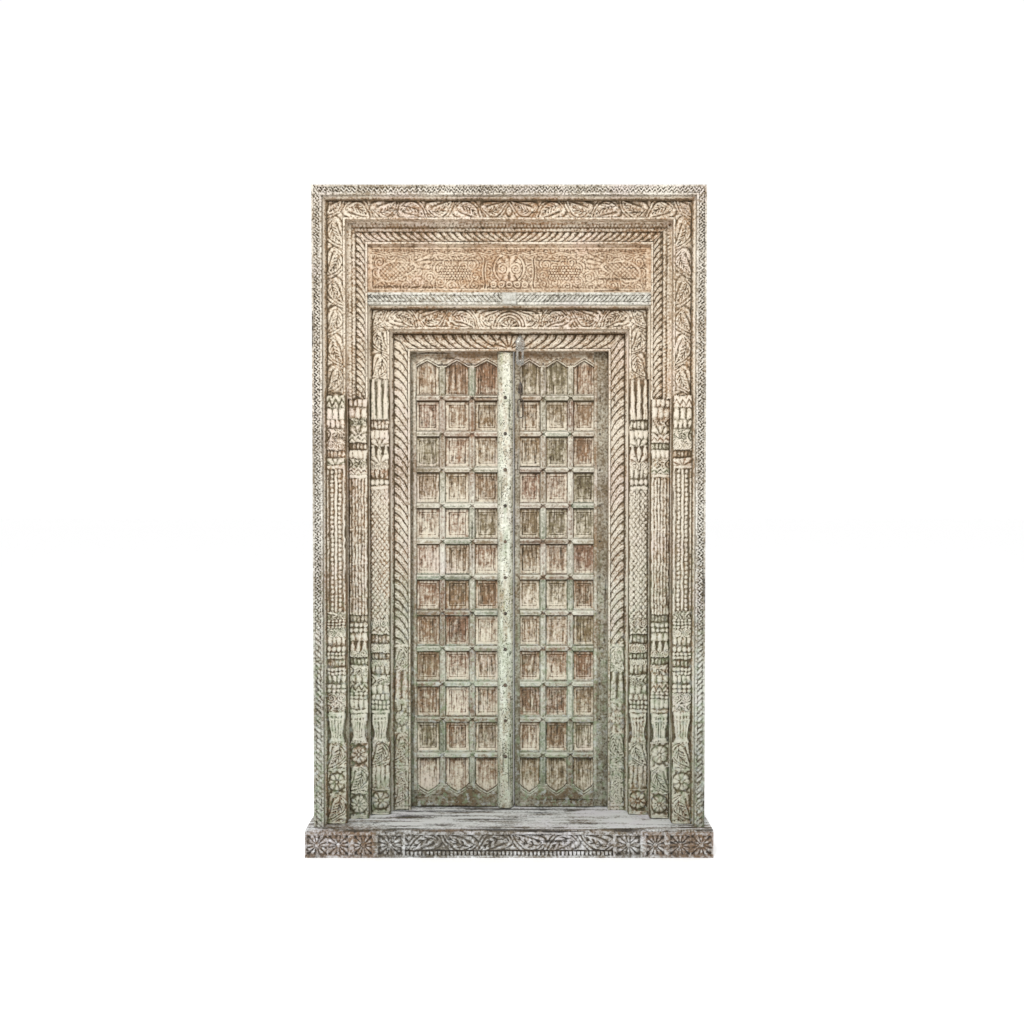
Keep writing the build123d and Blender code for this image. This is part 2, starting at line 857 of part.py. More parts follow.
def meeting_stile(leaf):
    """Inner stile. The right one has a lip along its back that closes the gap to the left one."""
    middle_x = (leaf.meeting_inner_x + leaf.meeting_outer_x) / 2
    lip_width = meeting_gap - closing_lip_gap
    with BuildPart() as stile:
        with BuildSketch(Plane.XY.offset(leaf_bottom)):
            with Locations((middle_x, (stile_front_y + leaf_back_y) / 2)):
                Rectangle(abs(leaf.meeting_outer_x - leaf.meeting_inner_x), leaf_back_y - stile_front_y)
            if leaf.side > 0:
                with Locations((leaf.meeting_outer_x, leaf_back_y)):
                    Rectangle(lip_width, closing_lip_depth, align=Align.MAX)
        extrude(amount=leaf_top - leaf_bottom)
    return stile.part


def board(left_x, right_x):
    with BuildPart() as plank:
        with BuildSketch(Plane.XY.offset(leaf_bottom)):
            with Locations((left_x, board_front_y)):
                Rectangle(right_x - left_x, leaf_back_y - board_front_y, align=Align.MIN)
        extrude(amount=leaf_top - leaf_bottom)
    return plank.part


def cross_rails(leaf):
    """Bevelled rails across the boards, with a raised plaque in each column."""
    with BuildPart() as rails:
        for z in rail_heights:
            with BuildSketch(Plane.YZ.offset(leaf.low_x)):
                with BuildLine():
                    Polyline(
                        (board_front_y, z - rail_base / 2), (leaf_front_y, z - rail_top / 2),
                        (leaf_front_y, z + rail_top / 2), (board_front_y, z + rail_base / 2),
                        close=True,
                    )
                make_face()
            extrude(amount=leaf.high_x - leaf.low_x)
        for left_x, right_x in leaf.cells:
            for z in rail_heights:
                with BuildSketch(Plane.YZ.offset(left_x + plaque_margin)):
                    with BuildLine():
                        Polyline(
                            (leaf_front_y, z - plaque_height / 2),
                            (leaf_front_y - plaque_rise, z - plaque_top / 2),
                            (leaf_front_y - plaque_rise, z + plaque_top / 2),
                            (leaf_front_y, z + plaque_height / 2),
                            close=True,
                        )
                    make_face()
                extrude(amount=right_x - left_x - 2 * plaque_margin)
    return rails.part


def arched_rail(leaf, edge_z, spring_z, apex_z):
    """Top or bottom rail, cut to a pointed arch over or under each column, with bevelled arches."""
    outline = [(leaf.low_x, edge_z)]
    for left_x, right_x in leaf.cells:
        outline += [(left_x, spring_z), ((left_x + right_x) / 2, apex_z), (right_x, spring_z)]
    outline.append((leaf.high_x, edge_z))
    with BuildPart() as rail:
        with BuildSketch(lattice_back):
            with BuildLine():
                Polyline(*outline, close=True)
            make_face()
        extrude(amount=lattice_depth)
        front_edges = rail.faces().sort_by(Axis.Y)[0].edges()
        sloping = front_edges.filter_by(Axis.X, reverse=True).filter_by(Axis.Z, reverse=True)
        chamfer(sloping, length=arch_chamfer)
    return rail.part


def muntins(leaf, rails, low_z, high_z):
    """Short uprights between the rails, their ends coped to the rails' bevels."""
    front_y = leaf_front_y + muntin_drop
    with BuildPart() as uprights:
        for x in leaf.muntin_x:
            with BuildSketch(Plane.XY.offset(low_z)):
                with BuildLine():
                    Polyline(
                        (x - muntin_base / 2, board_front_y), (x - muntin_top / 2, front_y),
                        (x + muntin_top / 2, front_y), (x + muntin_base / 2, board_front_y),
                        close=True,
                    )
                make_face()
            extrude(amount=high_z - low_z)
        add(rails, mode=Mode.SUBTRACT)
    return uprights.part


def ledges(leaf):
    """Battens nailed across the back of the boards."""
    hinge_end = leaf.side * (pivot_x - ledge_heel_clear)
    meeting_end = leaf.meeting_outer_x + leaf.side * ledge_end_margin
    step = (leaf_top - leaf_bottom - 2 * ledge_first_rise) / (ledge_count - 1)
    middle_x = (hinge_end + meeting_end) / 2
    first_z = leaf_bottom + ledge_first_rise
    with BuildPart() as battens:
        with BuildSketch(Plane((0, leaf_back_y, 0), x_dir=(1, 0, 0), z_dir=(0, -1, 0))):
            with Locations(*[(middle_x, first_z + i * step) for i in range(ledge_count)]):
                Rectangle(abs(hinge_end - meeting_end), ledge_height)
        extrude(amount=-ledge_thickness)
    return battens.part


for leaf in (left_leaf, right_leaf):
    top_spring = leaf_top - leaf_overlap - arch_spring
    bottom_spring = leaf_bottom + sill_arch_spring
    rails = cross_rails(leaf)
    save(hinge_stile(leaf), f"{leaf.name}_hinge_stile")
    save(meeting_stile(leaf), f"{leaf.name}_meeting_stile")
    joints = [leaf.low_x - board_gap / 2] + leaf.muntin_x + [leaf.high_x + board_gap / 2]
    for i in range(column_count):
        plank = board(joints[i] + board_gap / 2, joints[i + 1] - board_gap / 2)
        save(plank, f"{leaf.name}_board_{i + 1}")
    save(rails, f"{leaf.name}_cross_rails")
    top_rail = arched_rail(leaf, leaf_top, top_spring, top_spring + arch_rise)
    bottom_rail = arched_rail(leaf, leaf_bottom, bottom_spring, bottom_spring - sill_arch_rise)
    save(top_rail, f"{leaf.name}_top_rail")
    save(bottom_rail, f"{leaf.name}_bottom_rail")
    save(muntins(leaf, rails, bottom_spring, top_spring), f"{leaf.name}_muntins")
    save(ledges(leaf), f"{leaf.name}_ledges")


# Astragal nailed on the left leaf's meeting stile, with its row of rose-head nails
astragal_front_y = stile_front_y - astragal_rise
astragal_edge_x = left_leaf.meeting_outer_x - astragal_set_back
astragal_x = (left_leaf.meeting_inner_x + astragal_edge_x) / 2
with BuildPart() as astragal:
    with BuildSketch(Plane.XY.offset(leaf_bottom)):
        with BuildLine():
            Polyline(
                (left_leaf.meeting_inner_x, stile_front_y),
                (left_leaf.meeting_inner_x, astragal_front_y + astragal_chamfer),
                (left_leaf.meeting_inner_x + astragal_chamfer, astragal_front_y),
                (astragal_edge_x - astragal_chamfer, astragal_front_y),
                (astragal_edge_x, astragal_front_y + astragal_chamfer),
                (astragal_edge_x, stile_front_y),
                close=True,
            )
        make_face()
    extrude(amount=opening_top - leaf_clearance - leaf_bottom)
save(astragal.part, "astragal")

with BuildPart() as astragal_nails:
    with BuildSketch(Plane((0, astragal_front_y, 0), x_dir=(1, 0, 0), z_dir=(0, -1, 0))):
        with Locations(*[(astragal_x, z) for z in rail_heights]):
            Rectangle(nail_head, nail_head)
    extrude(amount=nail_rise)
    nail_faces = astragal_nails.faces().group_by(Axis.Y)[0]
    chamfer(nail_faces.edges(), length=nail_bevel)
save(astragal_nails.part, "astragal_nails")


# Hasp: a plate on the lintel with two knuckles, a pin through them, and a slotted strap that swings on it
octagon_turn = 22.5
octagon_share = 1 / cos(radians(octagon_turn))


def octagon(size, mode=Mode.ADD):
    """An eight-sided section, given across its flats."""
    return RegularPolygon(size / 2 * octagon_share, 8, rotation=octagon_turn, mode=mode)


plate_foot = opening_top + hasp_plate_rise
plate_front_y = inner_rope.face_y - hasp_plate_thickness
pin_y = plate_front_y - knuckle_size / 2 - hasp_swing_gap
pin_z = plate_foot + knuckle_size / 2
plate_half = hasp_plate_width / 2
side_knuckle_length = (hasp_plate_width - knuckle_length) / 2 - knuckle_gap
side_knuckle_x = [hasp_x - plate_half, hasp_x + plate_half - side_knuckle_length]
with BuildPart() as hasp_plate:
    with BuildSketch(Plane((hasp_x, inner_rope.face_y, plate_foot), x_dir=(1, 0, 0), z_dir=(0, -1, 0))):
        with BuildLine():
            Polyline(
                (-plate_half, 0), (plate_half, 0), (plate_half, hasp_plate_shoulder),
                (0, hasp_plate_height), (-plate_half, hasp_plate_shoulder),
                close=True,
            )
        make_face()
    extrude(amount=hasp_plate_thickness)
    for x in side_knuckle_x:
        with BuildSketch(Plane.YZ.offset(x)):
            with Locations((pin_y, pin_z)):
                octagon(knuckle_size)
                Rectangle(plate_front_y - pin_y, knuckle_web, align=(Align.MIN, Align.CENTER))
                octagon(hasp_pin_size, Mode.SUBTRACT)
        extrude(amount=side_knuckle_length)
save(hasp_plate.part, "hasp_plate")

with BuildPart() as hasp_pin:
    with BuildSketch(Plane.YZ.offset(hasp_x - plate_half)):
        with Locations((pin_y, pin_z)):
            octagon(hasp_pin_size)
    extrude(amount=hasp_plate_width)
save(hasp_pin.part, "hasp_pin")

shoulder_drop = knuckle_size / 2 * octagon_share + hasp_swing_gap
slot_middle = -hasp_slot_drop - hasp_slot_length / 2
with BuildPart() as hasp:
    strap_plane = Plane((hasp_x, pin_y + hasp_thickness / 2, pin_z), x_dir=(1, 0, 0), z_dir=(0, -1, 0))
    with BuildSketch(strap_plane) as hasp_sketch:
        with BuildLine():
            Polyline(
                (-hasp_width / 2, -hasp_length), (-hasp_width / 2, -shoulder_drop),
                (-knuckle_length / 2, -shoulder_drop), (-knuckle_length / 2, 0), (knuckle_length / 2, 0),
                (knuckle_length / 2, -shoulder_drop), (hasp_width / 2, -shoulder_drop),
                (hasp_width / 2, -hasp_length),
                close=True,
            )
        make_face()
        strap = hasp_sketch.vertices().group_by(Axis.Y)[0]
        chamfer(strap, length=hasp_corner)
        with BuildSketch(mode=Mode.PRIVATE) as slot:
            with Locations((0, slot_middle)):
                Rectangle(hasp_slot_width, hasp_slot_length)
            chamfer(slot.vertices(), length=hasp_slot_corner)
        add(slot.sketch, mode=Mode.SUBTRACT)
    extrude(amount=hasp_thickness)
    with BuildSketch(Plane.YZ.offset(hasp_x - knuckle_length / 2)):
        with Locations((pin_y, pin_z)):
            octagon(knuckle_size)
    extrude(amount=knuckle_length)
    with BuildSketch(Plane.YZ.offset(hasp_x - knuckle_length / 2)):
        with Locations((pin_y, pin_z)):
            octagon(hasp_pin_size + 2 * hasp_pin_clearance)
    extrude(amount=knuckle_length, mode=Mode.SUBTRACT)
save(hasp.part, "hasp")


# Staple on the right leaf's meeting stile, with a link and a ring hanging from its eye
staple_z = rail_heights[-1] + staple_rise
staple_front_y = stile_front_y - staple_thickness
eye_y = staple_front_y - staple_reach
staple_half = staple_width / 2
eye_half = staple_eye_width / 2
leg_x = [staple_x - eye_half + chain_bar / 2, staple_x + eye_half - chain_bar / 2]
staple_foot = staple_z - staple_foot_drop
with BuildPart() as chain_staple:
    with BuildSketch(Plane((staple_x, stile_front_y, staple_foot), x_dir=(1, 0, 0), z_dir=(0, -1, 0))):
        with BuildLine():
            Polyline(
                (-staple_half, 0), (staple_half, 0), (staple_half, staple_shoulder),
                (0, staple_height), (-staple_half, staple_shoulder),
                close=True,
            )
        make_face()
    extrude(amount=staple_thickness)
    with BuildSketch(Plane((0, staple_front_y, staple_z), x_dir=(1, 0, 0), z_dir=(0, -1, 0))):
        with Locations(*[(x, 0) for x in leg_x]):
            Rectangle(chain_bar, chain_bar)
    extrude(amount=staple_reach)
    with BuildSketch(Plane.YZ.offset(staple_x - eye_half)):
        with Locations((eye_y, staple_z)):
            octagon(chain_bar)
    extrude(amount=staple_eye_width)
save(chain_staple.part, "chain_staple")


def chain_link(plane, width, length):
    """A forged link in the plane, hanging below its origin, made of eight-sided bar."""
    bend_share = 0.29
    half = (width - chain_bar) / 2
    drop = length - chain_bar
    bend = bend_share * (width - chain_bar)
    with BuildPart() as link:
        with BuildLine(plane) as route:
            Polyline(
                (0, 0), (half - bend, 0), (half, -bend), (half, -drop + bend), (half - bend, -drop),
                (-half + bend, -drop), (-half, -drop + bend), (-half, -bend), (-half + bend, 0),
                close=True,
            )
        with BuildSketch(Plane(plane.origin, x_dir=plane.z_dir, z_dir=plane.x_dir)):
            octagon(chain_bar)
        sweep(path=route.wires()[0], transition=Transition.RIGHT)
    return link.part


link_top_z = staple_z + chain_bar + chain_gap
ring_top_z = link_top_z - (link_length - chain_bar) + chain_bar + chain_gap
link_plane = Plane((staple_x, eye_y, link_top_z), x_dir=(0, 1, 0), z_dir=(1, 0, 0))
ring_plane = Plane((staple_x, eye_y, ring_top_z), x_dir=(1, 0, 0), z_dir=(0, -1, 0))
save(chain_link(link_plane, link_width, link_length), "chain_link")
save(chain_link(ring_plane, ring_width, ring_length), "chain_ring")
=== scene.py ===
import math

import bpy
import numpy as np
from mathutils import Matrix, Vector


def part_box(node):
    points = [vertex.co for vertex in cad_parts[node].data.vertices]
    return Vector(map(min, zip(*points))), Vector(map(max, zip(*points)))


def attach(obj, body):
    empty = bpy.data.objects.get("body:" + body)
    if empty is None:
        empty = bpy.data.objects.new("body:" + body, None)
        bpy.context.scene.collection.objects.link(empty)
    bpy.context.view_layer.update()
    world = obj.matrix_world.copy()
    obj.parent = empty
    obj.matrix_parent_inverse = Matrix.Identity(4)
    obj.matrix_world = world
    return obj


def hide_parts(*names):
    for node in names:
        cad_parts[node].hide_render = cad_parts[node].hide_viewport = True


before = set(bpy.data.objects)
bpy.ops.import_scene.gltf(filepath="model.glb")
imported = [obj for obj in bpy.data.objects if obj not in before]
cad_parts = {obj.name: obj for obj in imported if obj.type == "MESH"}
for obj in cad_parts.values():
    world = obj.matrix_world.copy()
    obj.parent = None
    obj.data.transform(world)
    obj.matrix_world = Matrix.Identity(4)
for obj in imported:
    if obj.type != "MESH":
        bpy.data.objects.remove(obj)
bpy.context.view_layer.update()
mm = 0.001  # the carving is worked out in millimetres
print("frame loaded,", len(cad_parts), "nodes")


def newObject(name, data):
    obj = bpy.data.objects.new(name, data)
    bpy.context.scene.collection.objects.link(obj)
    return obj


# Camera at the photograph's angle
camera = {
    "place": (0.0104, -4.209, 1.361), "lookDown": 1.403, "lens": 39.12, "sensor": 36.0, "farthest": 60,
}


def makeCamera(c):
    data = bpy.data.cameras.new("camera")
    data.lens, data.sensor_width = c["lens"], c["sensor"]
    data.clip_end = c["farthest"]
    obj = newObject("camera", data)
    obj.location = c["place"]
    obj.rotation_euler = (math.radians(90 - c["lookDown"]), 0, 0)
    bpy.context.scene.camera = obj


makeCamera(camera)
print("camera set")


# Numbers shared by the carving

def boxMm(node):
    low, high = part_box(node)
    return np.array(low) / mm, np.array(high) / mm


def smoothNoise(x, y, seed):
    # about one swell per unit, from -1 to 1
    size = 64
    table = np.random.default_rng(seed).uniform(-1, 1, (size, size))
    xi, yi = np.floor(x).astype(int), np.floor(y).astype(int)
    fx, fy = x - xi, y - yi
    fx, fy = fx * fx * (3 - 2 * fx), fy * fy * (3 - 2 * fy)
    left = table[xi % size, yi % size] * (1 - fy) + table[xi % size, (yi + 1) % size] * fy
    right = table[(xi + 1) % size, yi % size] * (1 - fy) + table[(xi + 1) % size, (yi + 1) % size] * fy
    return left * (1 - fx) + right * fx


def bump(t, middle, half):
    return np.clip(1 - ((t - middle) / half) ** 2, 0, None)


def dome(u, v):
    return np.sqrt(np.clip(1 - u ** 2 - v ** 2, 0, None))


def ramp(t, start, end):
    s = np.clip((t - start) / (end - start), 0, 1)
    return s * s * (3 - 2 * s)


def ridges(turns, power):
    # one rounded ridge per turn, in the middle of it
    return np.abs(np.sin(np.pi * turns)) ** power


def crests(turns, power):
    # one rounded ridge per turn, at its start
    return np.abs(np.cos(np.pi * turns)) ** power


def petals(angle, count, power):
    return np.abs(np.cos(count * angle)) ** power


def blurred(a, rows, columns):
    # two box passes each way
    for axis, reach in ((0, rows), (1, columns)):
        for _ in range(2):
            pad = [(reach, reach) if k == axis else (0, 0) for k in range(2)]
            total = np.cumsum(np.pad(a, pad, mode="edge"), axis=axis)
            total = np.insert(total, 0, 0, axis=axis)
            span = 2 * reach + 1
            ahead = np.take(total, np.arange(span, total.shape[axis]), axis=axis)
            behind = np.take(total, np.arange(0, total.shape[axis] - span), axis=axis)
            a = (ahead - behind) / span
    return a


def handWork(along, across, seed):
    # the unevenness that tools and weather leave
    coarse, fine = smoothNoise(along / 31, across / 23, seed), smoothNoise(along / 7, across / 6, seed + 1)
    return 0.7 * coarse + 0.35 * fine


# Each kind of piece has its own stretch of unevenness
noiseFrom = {"level": 900, "transom": 700, "arch": 500}
pieceShading = {"crease": 48, "hollowDepth": 4.0}  # degrees that make a sharp edge, and the depth at which a hollow is fully darkened with dirt and painted shade


# A piece made of rows of closed loops, capped at both ends

def loftMesh(name, rings, layers):
    rows, loop = rings.shape[:2]
    index = np.arange(rows * loop).reshape(rows, loop)
    ahead = np.roll(index, -1, axis=1)
    quads = np.stack([index[:-1], ahead[:-1], ahead[1:], index[1:]], axis=-1).reshape(-1, 4)
    points = rings.reshape(-1, 3)
    corner = (points - points.mean(axis=0))[quads]
    volume = np.einsum("ij,ij->", corner[:, 0], np.cross(corner[:, 1], corner[:, 2]))
    volume += np.einsum("ij,ij->", corner[:, 0], np.cross(corner[:, 2], corner[:, 3]))
    turn = 1 if volume > 0 else -1
    faces = quads[:, ::turn].tolist() + [index[0][::-turn].tolist(), index[-1][::turn].tolist()]
    mesh = bpy.data.meshes.new(name)
    mesh.from_pydata((points * mm).tolist(), [], faces)
    for key, values in layers.items():
        layer = mesh.attributes.new(key, "FLOAT", "POINT")
        layer.data.foreach_set("value", np.asarray(values, np.float32).ravel())
    return mesh


def backRow(x, y, z):
    return np.stack(np.broadcast_arrays(x, y, z), axis=-1)


def frontLoop(x, y, z, backRows):
    # front columns followed by the plain back of each row
    return np.concatenate([np.stack([x, y, z], axis=-1), np.stack(backRows, axis=1)], axis=1)


def finishPiece(name, mesh, body, nodes, crease=pieceShading["crease"]):
    mesh.shade_smooth()
    mesh.set_sharp_from_angle(angle=math.radians(crease))
    obj = newObject(name, mesh)
    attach(obj, body)
    if nodes:
        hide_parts(*nodes)
    return obj


def loftPiece(name, rings, body, node, material, layers):
    mesh = loftMesh(name, rings, layers)
    mesh.materials.append(material)
    finishPiece(name, mesh, body, [node])


def surface(height, back, tone=0.0, hue=0.0, spread=(4, 4)):
    # hollow: how far a point lies above or below its surroundings; tone: paler or darker; hue: which wood
    # the hollow layer darkens recesses with dirt and painted shade
    hollow = np.clip((height - blurred(height, *spread)) / pieceShading["hollowDepth"], -1, 1)
    plain = np.zeros((len(height), back))
    layers = {"hollow": hollow, "tone": tone + 0 * height, "hue": hue + 0 * height}
    return {key: np.hstack([layer, plain]) for key, layer in layers.items()}


def evaluatedMesh(obj):
    # the mesh that the modifiers make; the object itself goes
    bpy.context.view_layer.update()
    mesh = bpy.data.meshes.new_from_object(obj.evaluated_get(bpy.context.evaluated_depsgraph_get()))
    bpy.data.objects.remove(obj)
    return mesh


# Shader groups and materials

def rgb(r, g, b):
    # colour picker values, none near black, to linear light
    return tuple(((v / 255 + 0.055) / 1.055) ** 2.4 for v in (r, g, b)) + (1,)


class Tree:
    def __init__(self, tree):
        self.tree = tree

    def link(self, output, socket):
        self.tree.links.new(output, socket)

    def add(self, kind, inputs=None, **settings):
        node = self.tree.nodes.new(kind)
        for key, value in settings.items():
            setattr(node, key, value)
        for key, value in (inputs or {}).items():
            if isinstance(value, bpy.types.NodeSocket):
                self.link(value, node.inputs[key])
            else:
                node.inputs[key].default_value = value
        return node

    def place(self):
        return self.add("ShaderNodeTexCoord").outputs["Object"]

    def maths(self, operation, a, b=0.0, c=0.0, clamp=False):
        return self.add("ShaderNodeMath", {0: a, 1: b, 2: c}, operation=operation, use_clamp=clamp).outputs[0]

    def plus(self, total, value, share):
        return self.maths("MULTIPLY_ADD", value, share, total)

    def centred(self, noise):
        return self.maths("SUBTRACT", noise, 0.5)

    def blend(self, factor, a, b, how="MIX"):
        settings = {"data_type": "RGBA", "blend_type": how, "clamp_factor": True}
        return self.add("ShaderNodeMix", {0: factor, 6: a, 7: b}, **settings).outputs[2]

    def noise(self, vector, scale, detail=4.0, rough=0.55):
        inputs = {"Vector": vector, "Scale": scale, "Detail": detail, "Roughness": rough}
        return self.add("ShaderNodeTexNoise", inputs).outputs["Fac"]

    def band(self, value, low, high):
        inputs = {"Value": value, "From Min": low, "From Max": high}
        return self.add("ShaderNodeMapRange", inputs, interpolation_type="SMOOTHSTEP").outputs[0]

    def attribute(self, name):
        return self.add("ShaderNodeAttribute", attribute_name=name).outputs["Fac"]

    def colours(self, value, stops):
        node = self.add("ShaderNodeValToRGB", {"Fac": value})
        ramps = node.color_ramp.elements
        while len(ramps) < len(stops):
            ramps.new(0.5)
        for element, (place, colour) in zip(ramps, stops):
            element.position, element.color = place, colour
        return node.outputs["Color"]


def shaderGroup(name, inputs, outputs):
    group = bpy.data.node_groups.new(name, "ShaderNodeTree")
    for label, kind, value in inputs:
        socket = group.interface.new_socket(label, in_out="INPUT", socket_type="NodeSocket" + kind)
        socket.default_value = value
    for label, kind in outputs:
        group.interface.new_socket(label, in_out="OUTPUT", socket_type="NodeSocket" + kind)
    tree = Tree(group)
    return group, tree, tree.add("NodeGroupInput").outputs, tree.add("NodeGroupOutput").inputs


standing, lying = (160, 160, 7), (7, 160, 160)  # how fine the grain is along x, y and z


def grainGroup():
    # long fibres along one axis, with splits
    group, t, i, o = shaderGroup(
        "woodFibres", [("Stretch", "Vector", standing)], [("Fibre", "Float"), ("Split", "Float")],
    )
    inputs = {0: t.place(), 1: i["Stretch"]}
    long = t.add("ShaderNodeVectorMath", inputs, operation="MULTIPLY").outputs[0]
    fine, coarse = t.noise(long, 1.0, 6.0, 0.65), t.noise(long, 0.38, 3.0, 0.5)
    t.link(t.plus(t.maths("MULTIPLY", fine, 0.6), coarse, 0.4), o["Fibre"])
    t.link(t.band(t.noise(long, 0.55, 2.0, 0.4), 0.36, 0.30), o["Split"])
    return group


def limeGroup(fibres):
    # worn limewash over brown timber, with dirt and painted shade darkening the hollows
    group, t, i, o = shaderGroup(
        "limewashedTimber",
        [
            ("Wood", "Color", rgb(150, 120, 86)), ("Wash", "Color", rgb(236, 222, 196)),
            ("Dirt And Shade", "Color", rgb(72, 56, 36)), ("Cover", "Float", 0.5), ("Hollow", "Float", 0.0),
            ("Tone", "Float", 0.0), ("Pocks", "Float", 0.25), ("Chips", "Float", 0.5),
            ("Stretch", "Vector", standing),
        ],
        [("Color", "Color"), ("Rough", "Float"), ("Height", "Float")],
    )
    place = t.place()
    fibre = t.add("ShaderNodeGroup", {"Stretch": i["Stretch"]}, node_tree=fibres).outputs
    patch, speck = t.noise(place, 5.5, 4.0, 0.6), t.noise(place, 75.0, 5.0, 0.7)
    chip = t.noise(place, 118.0, 3.0, 0.62)
    chipped = t.maths("MULTIPLY", t.centred(chip), i["Chips"])
    cover = t.maths("MULTIPLY", t.centred(patch), 1.6)
    # the hollow term keeps wash off the recesses, adding to the painted shade there
    for part, share in (
        (t.centred(speck), 2.3), (t.centred(fibre["Fibre"]), 1.7), (chipped, 3.0), (i["Hollow"], 0.6),
        (i["Tone"], 0.55),
    ):
        cover = t.plus(cover, part, share)
    cover = t.maths("ADD", cover, i["Cover"], clamp=True)
    warm = t.band(t.noise(place, 3.7, 3.0), 0.42, 0.66)
    rose = t.band(t.noise(place, 6.3, 3.0), 0.50, 0.70)
    warmWood = t.blend(1.0, i["Wood"], (1.14, 0.98, 0.80, 1), "MULTIPLY")
    roseWash = t.blend(1.0, i["Wash"], (1.0, 0.94, 1.02, 1), "MULTIPLY")
    wood = t.blend(t.maths("MULTIPLY", warm, 0.75), i["Wood"], warmWood)
    wash = t.blend(t.maths("MULTIPLY", rose, 0.6), i["Wash"], roseWash)
    cells = t.add("ShaderNodeTexVoronoi", {"Vector": place, "Scale": 150.0}).outputs["Distance"]
    pock = t.maths("MULTIPLY", t.band(cells, 0.42, 0.26), t.band(t.noise(place, 34.0, 2.0), 0.43, 0.54))
    notch = t.maths("MULTIPLY", t.band(chip, 0.46, 0.36), i["Chips"])
    # painted shade darkens the hollows; specks, splits, pocks and chipped edges add real dirt
    dirtAndShade = t.maths("MULTIPLY", i["Hollow"], -1.0)
    for part, share in (
        (t.maths("SUBTRACT", speck, 0.52), 1.1), (fibre["Split"], 0.7), (pock, i["Pocks"]), (notch, 0.9),
    ):
        dirtAndShade = t.plus(dirtAndShade, part, share)
    dirtAndShade = t.maths("SUBTRACT", dirtAndShade, t.maths("MULTIPLY", i["Tone"], 0.40), clamp=True)
    t.link(t.blend(dirtAndShade, t.blend(cover, wood, wash), i["Dirt And Shade"]), o["Color"])
    t.link(t.maths("MULTIPLY_ADD", cover, 0.12, 0.72), o["Rough"])
    height = t.plus(t.maths("MULTIPLY", fibre["Fibre"], 0.7), speck, 0.5)
    t.link(t.plus(t.plus(height, chipped, 2.6), fibre["Split"], -0.5), o["Height"])
    return group


def footGroup():
    # the timber turns from warm to grey green towards the floor
    group, t, i, o = shaderGroup(
        "footTint",
        [("Color", "Color", (1, 1, 1, 1)), ("Green", "Float", 0.4), ("Tint", "Float", 1.0)],
        [("Color", "Color")],
    )
    place = t.place()
    z = t.add("ShaderNodeSeparateXYZ", {0: place}).outputs["Z"]
    level = t.plus(z, t.centred(t.noise(place, 3.2, 4.0)), 0.9)
    doorHeight = 2.45
    tint = t.colours(t.maths("DIVIDE", level, doorHeight, clamp=True), (
        (0.05, (0.69, 0.76, 0.76, 1)), (0.22, (0.82, 0.91, 0.92, 1)),
        (0.45, (0.96, 1.0, 1.04, 1)), (0.75, (1.0, 1.0, 1.0, 1)),
    ))
    tinted = t.blend(i["Tint"], i["Color"], tint, "MULTIPLY")
    low = t.maths("MULTIPLY", t.band(z, 1.35, 0.45), i["Green"])
    moss = t.maths("MULTIPLY", t.band(t.noise(place, 38.0, 4.0, 0.65), 0.50, 0.64), low)
    bloom = t.maths("MULTIPLY", t.band(t.noise(place, 47.0, 4.0, 0.6), 0.54, 0.66), low)
    tinted = t.blend(moss, tinted, rgb(128, 146, 112))
    t.link(t.blend(bloom, tinted, rgb(190, 196, 192)), o["Color"])
    return group


limeTree = limeGroup(grainGroup())
footTree = footGroup()

# each finish's darkest colour serves both real dirt and the painted shade in hollows
timberFinishes = {
    "carved_timber": {
        "wood": (153, 128, 99), "wash": (225, 214, 195), "dirtAndShade": (88, 74, 54), "cover": 0.50, "chips": 1.0,
        "green": (130, 138, 112), "brown": (150, 110, 78),
    },
    "edge": {
        "wood": (136, 123, 103), "wash": (220, 213, 200), "dirtAndShade": (66, 58, 46), "cover": 0.46, "chips": 1.0,
    },
    "rope_rail": {
        "wood": (138, 132, 118), "wash": (216, 213, 202), "dirtAndShade": (74, 69, 60), "cover": 0.46, "chips": 0.9,
    },
    "key_block": {
        "wood": (158, 154, 143), "wash": (213, 212, 203), "dirtAndShade": (96, 92, 80), "cover": 0.66, "chips": 0.4,
    },
    "transom_timber": {
        "wood": (166, 138, 110), "wash": (218, 200, 176), "dirtAndShade": (102, 80, 58), "cover": 0.42, "chips": 0.9,
    },
    "sill_timber": {
        "wood": (110, 104, 92), "wash": (219, 221, 220), "dirtAndShade": (54, 50, 45), "cover": 0.38, "chips": 0.6,
        "green": (104, 108, 116), "brown": (122, 102, 84),
    },
    "lattice_timber": {
        "wood": (132, 110, 85), "wash": (220, 213, 195), "dirtAndShade": (60, 49, 35), "cover": 0.37, "chips": 0.5,
        "green": (120, 134, 112), "brown": (128, 98, 82),
    },
    "board_timber": {
        "wood": (138, 112, 85), "wash": (220, 210, 190), "dirtAndShade": (64, 51, 36), "cover": 0.36, "chips": 0.5,
        "green": (116, 116, 88), "brown": (134, 100, 82),
    },
    "astragal_timber": {
        "wood": (158, 148, 122), "wash": (232, 231, 214), "dirtAndShade": (78, 76, 60), "cover": 0.60, "chips": 0.3,
        "pocks": 0.95, "green": (150, 160, 130), "brown": (160, 134, 108),
    },
    "plain_timber": {
        "wood": (118, 104, 82), "wash": (200, 194, 176), "dirtAndShade": (58, 48, 36), "cover": 0.27, "chips": 0.6,
    },
}


def newMaterial(name):
    material = bpy.data.materials.new(name)
    material.use_nodes = True
    return material, Tree(material.node_tree), material.node_tree.nodes["Principled BSDF"].inputs


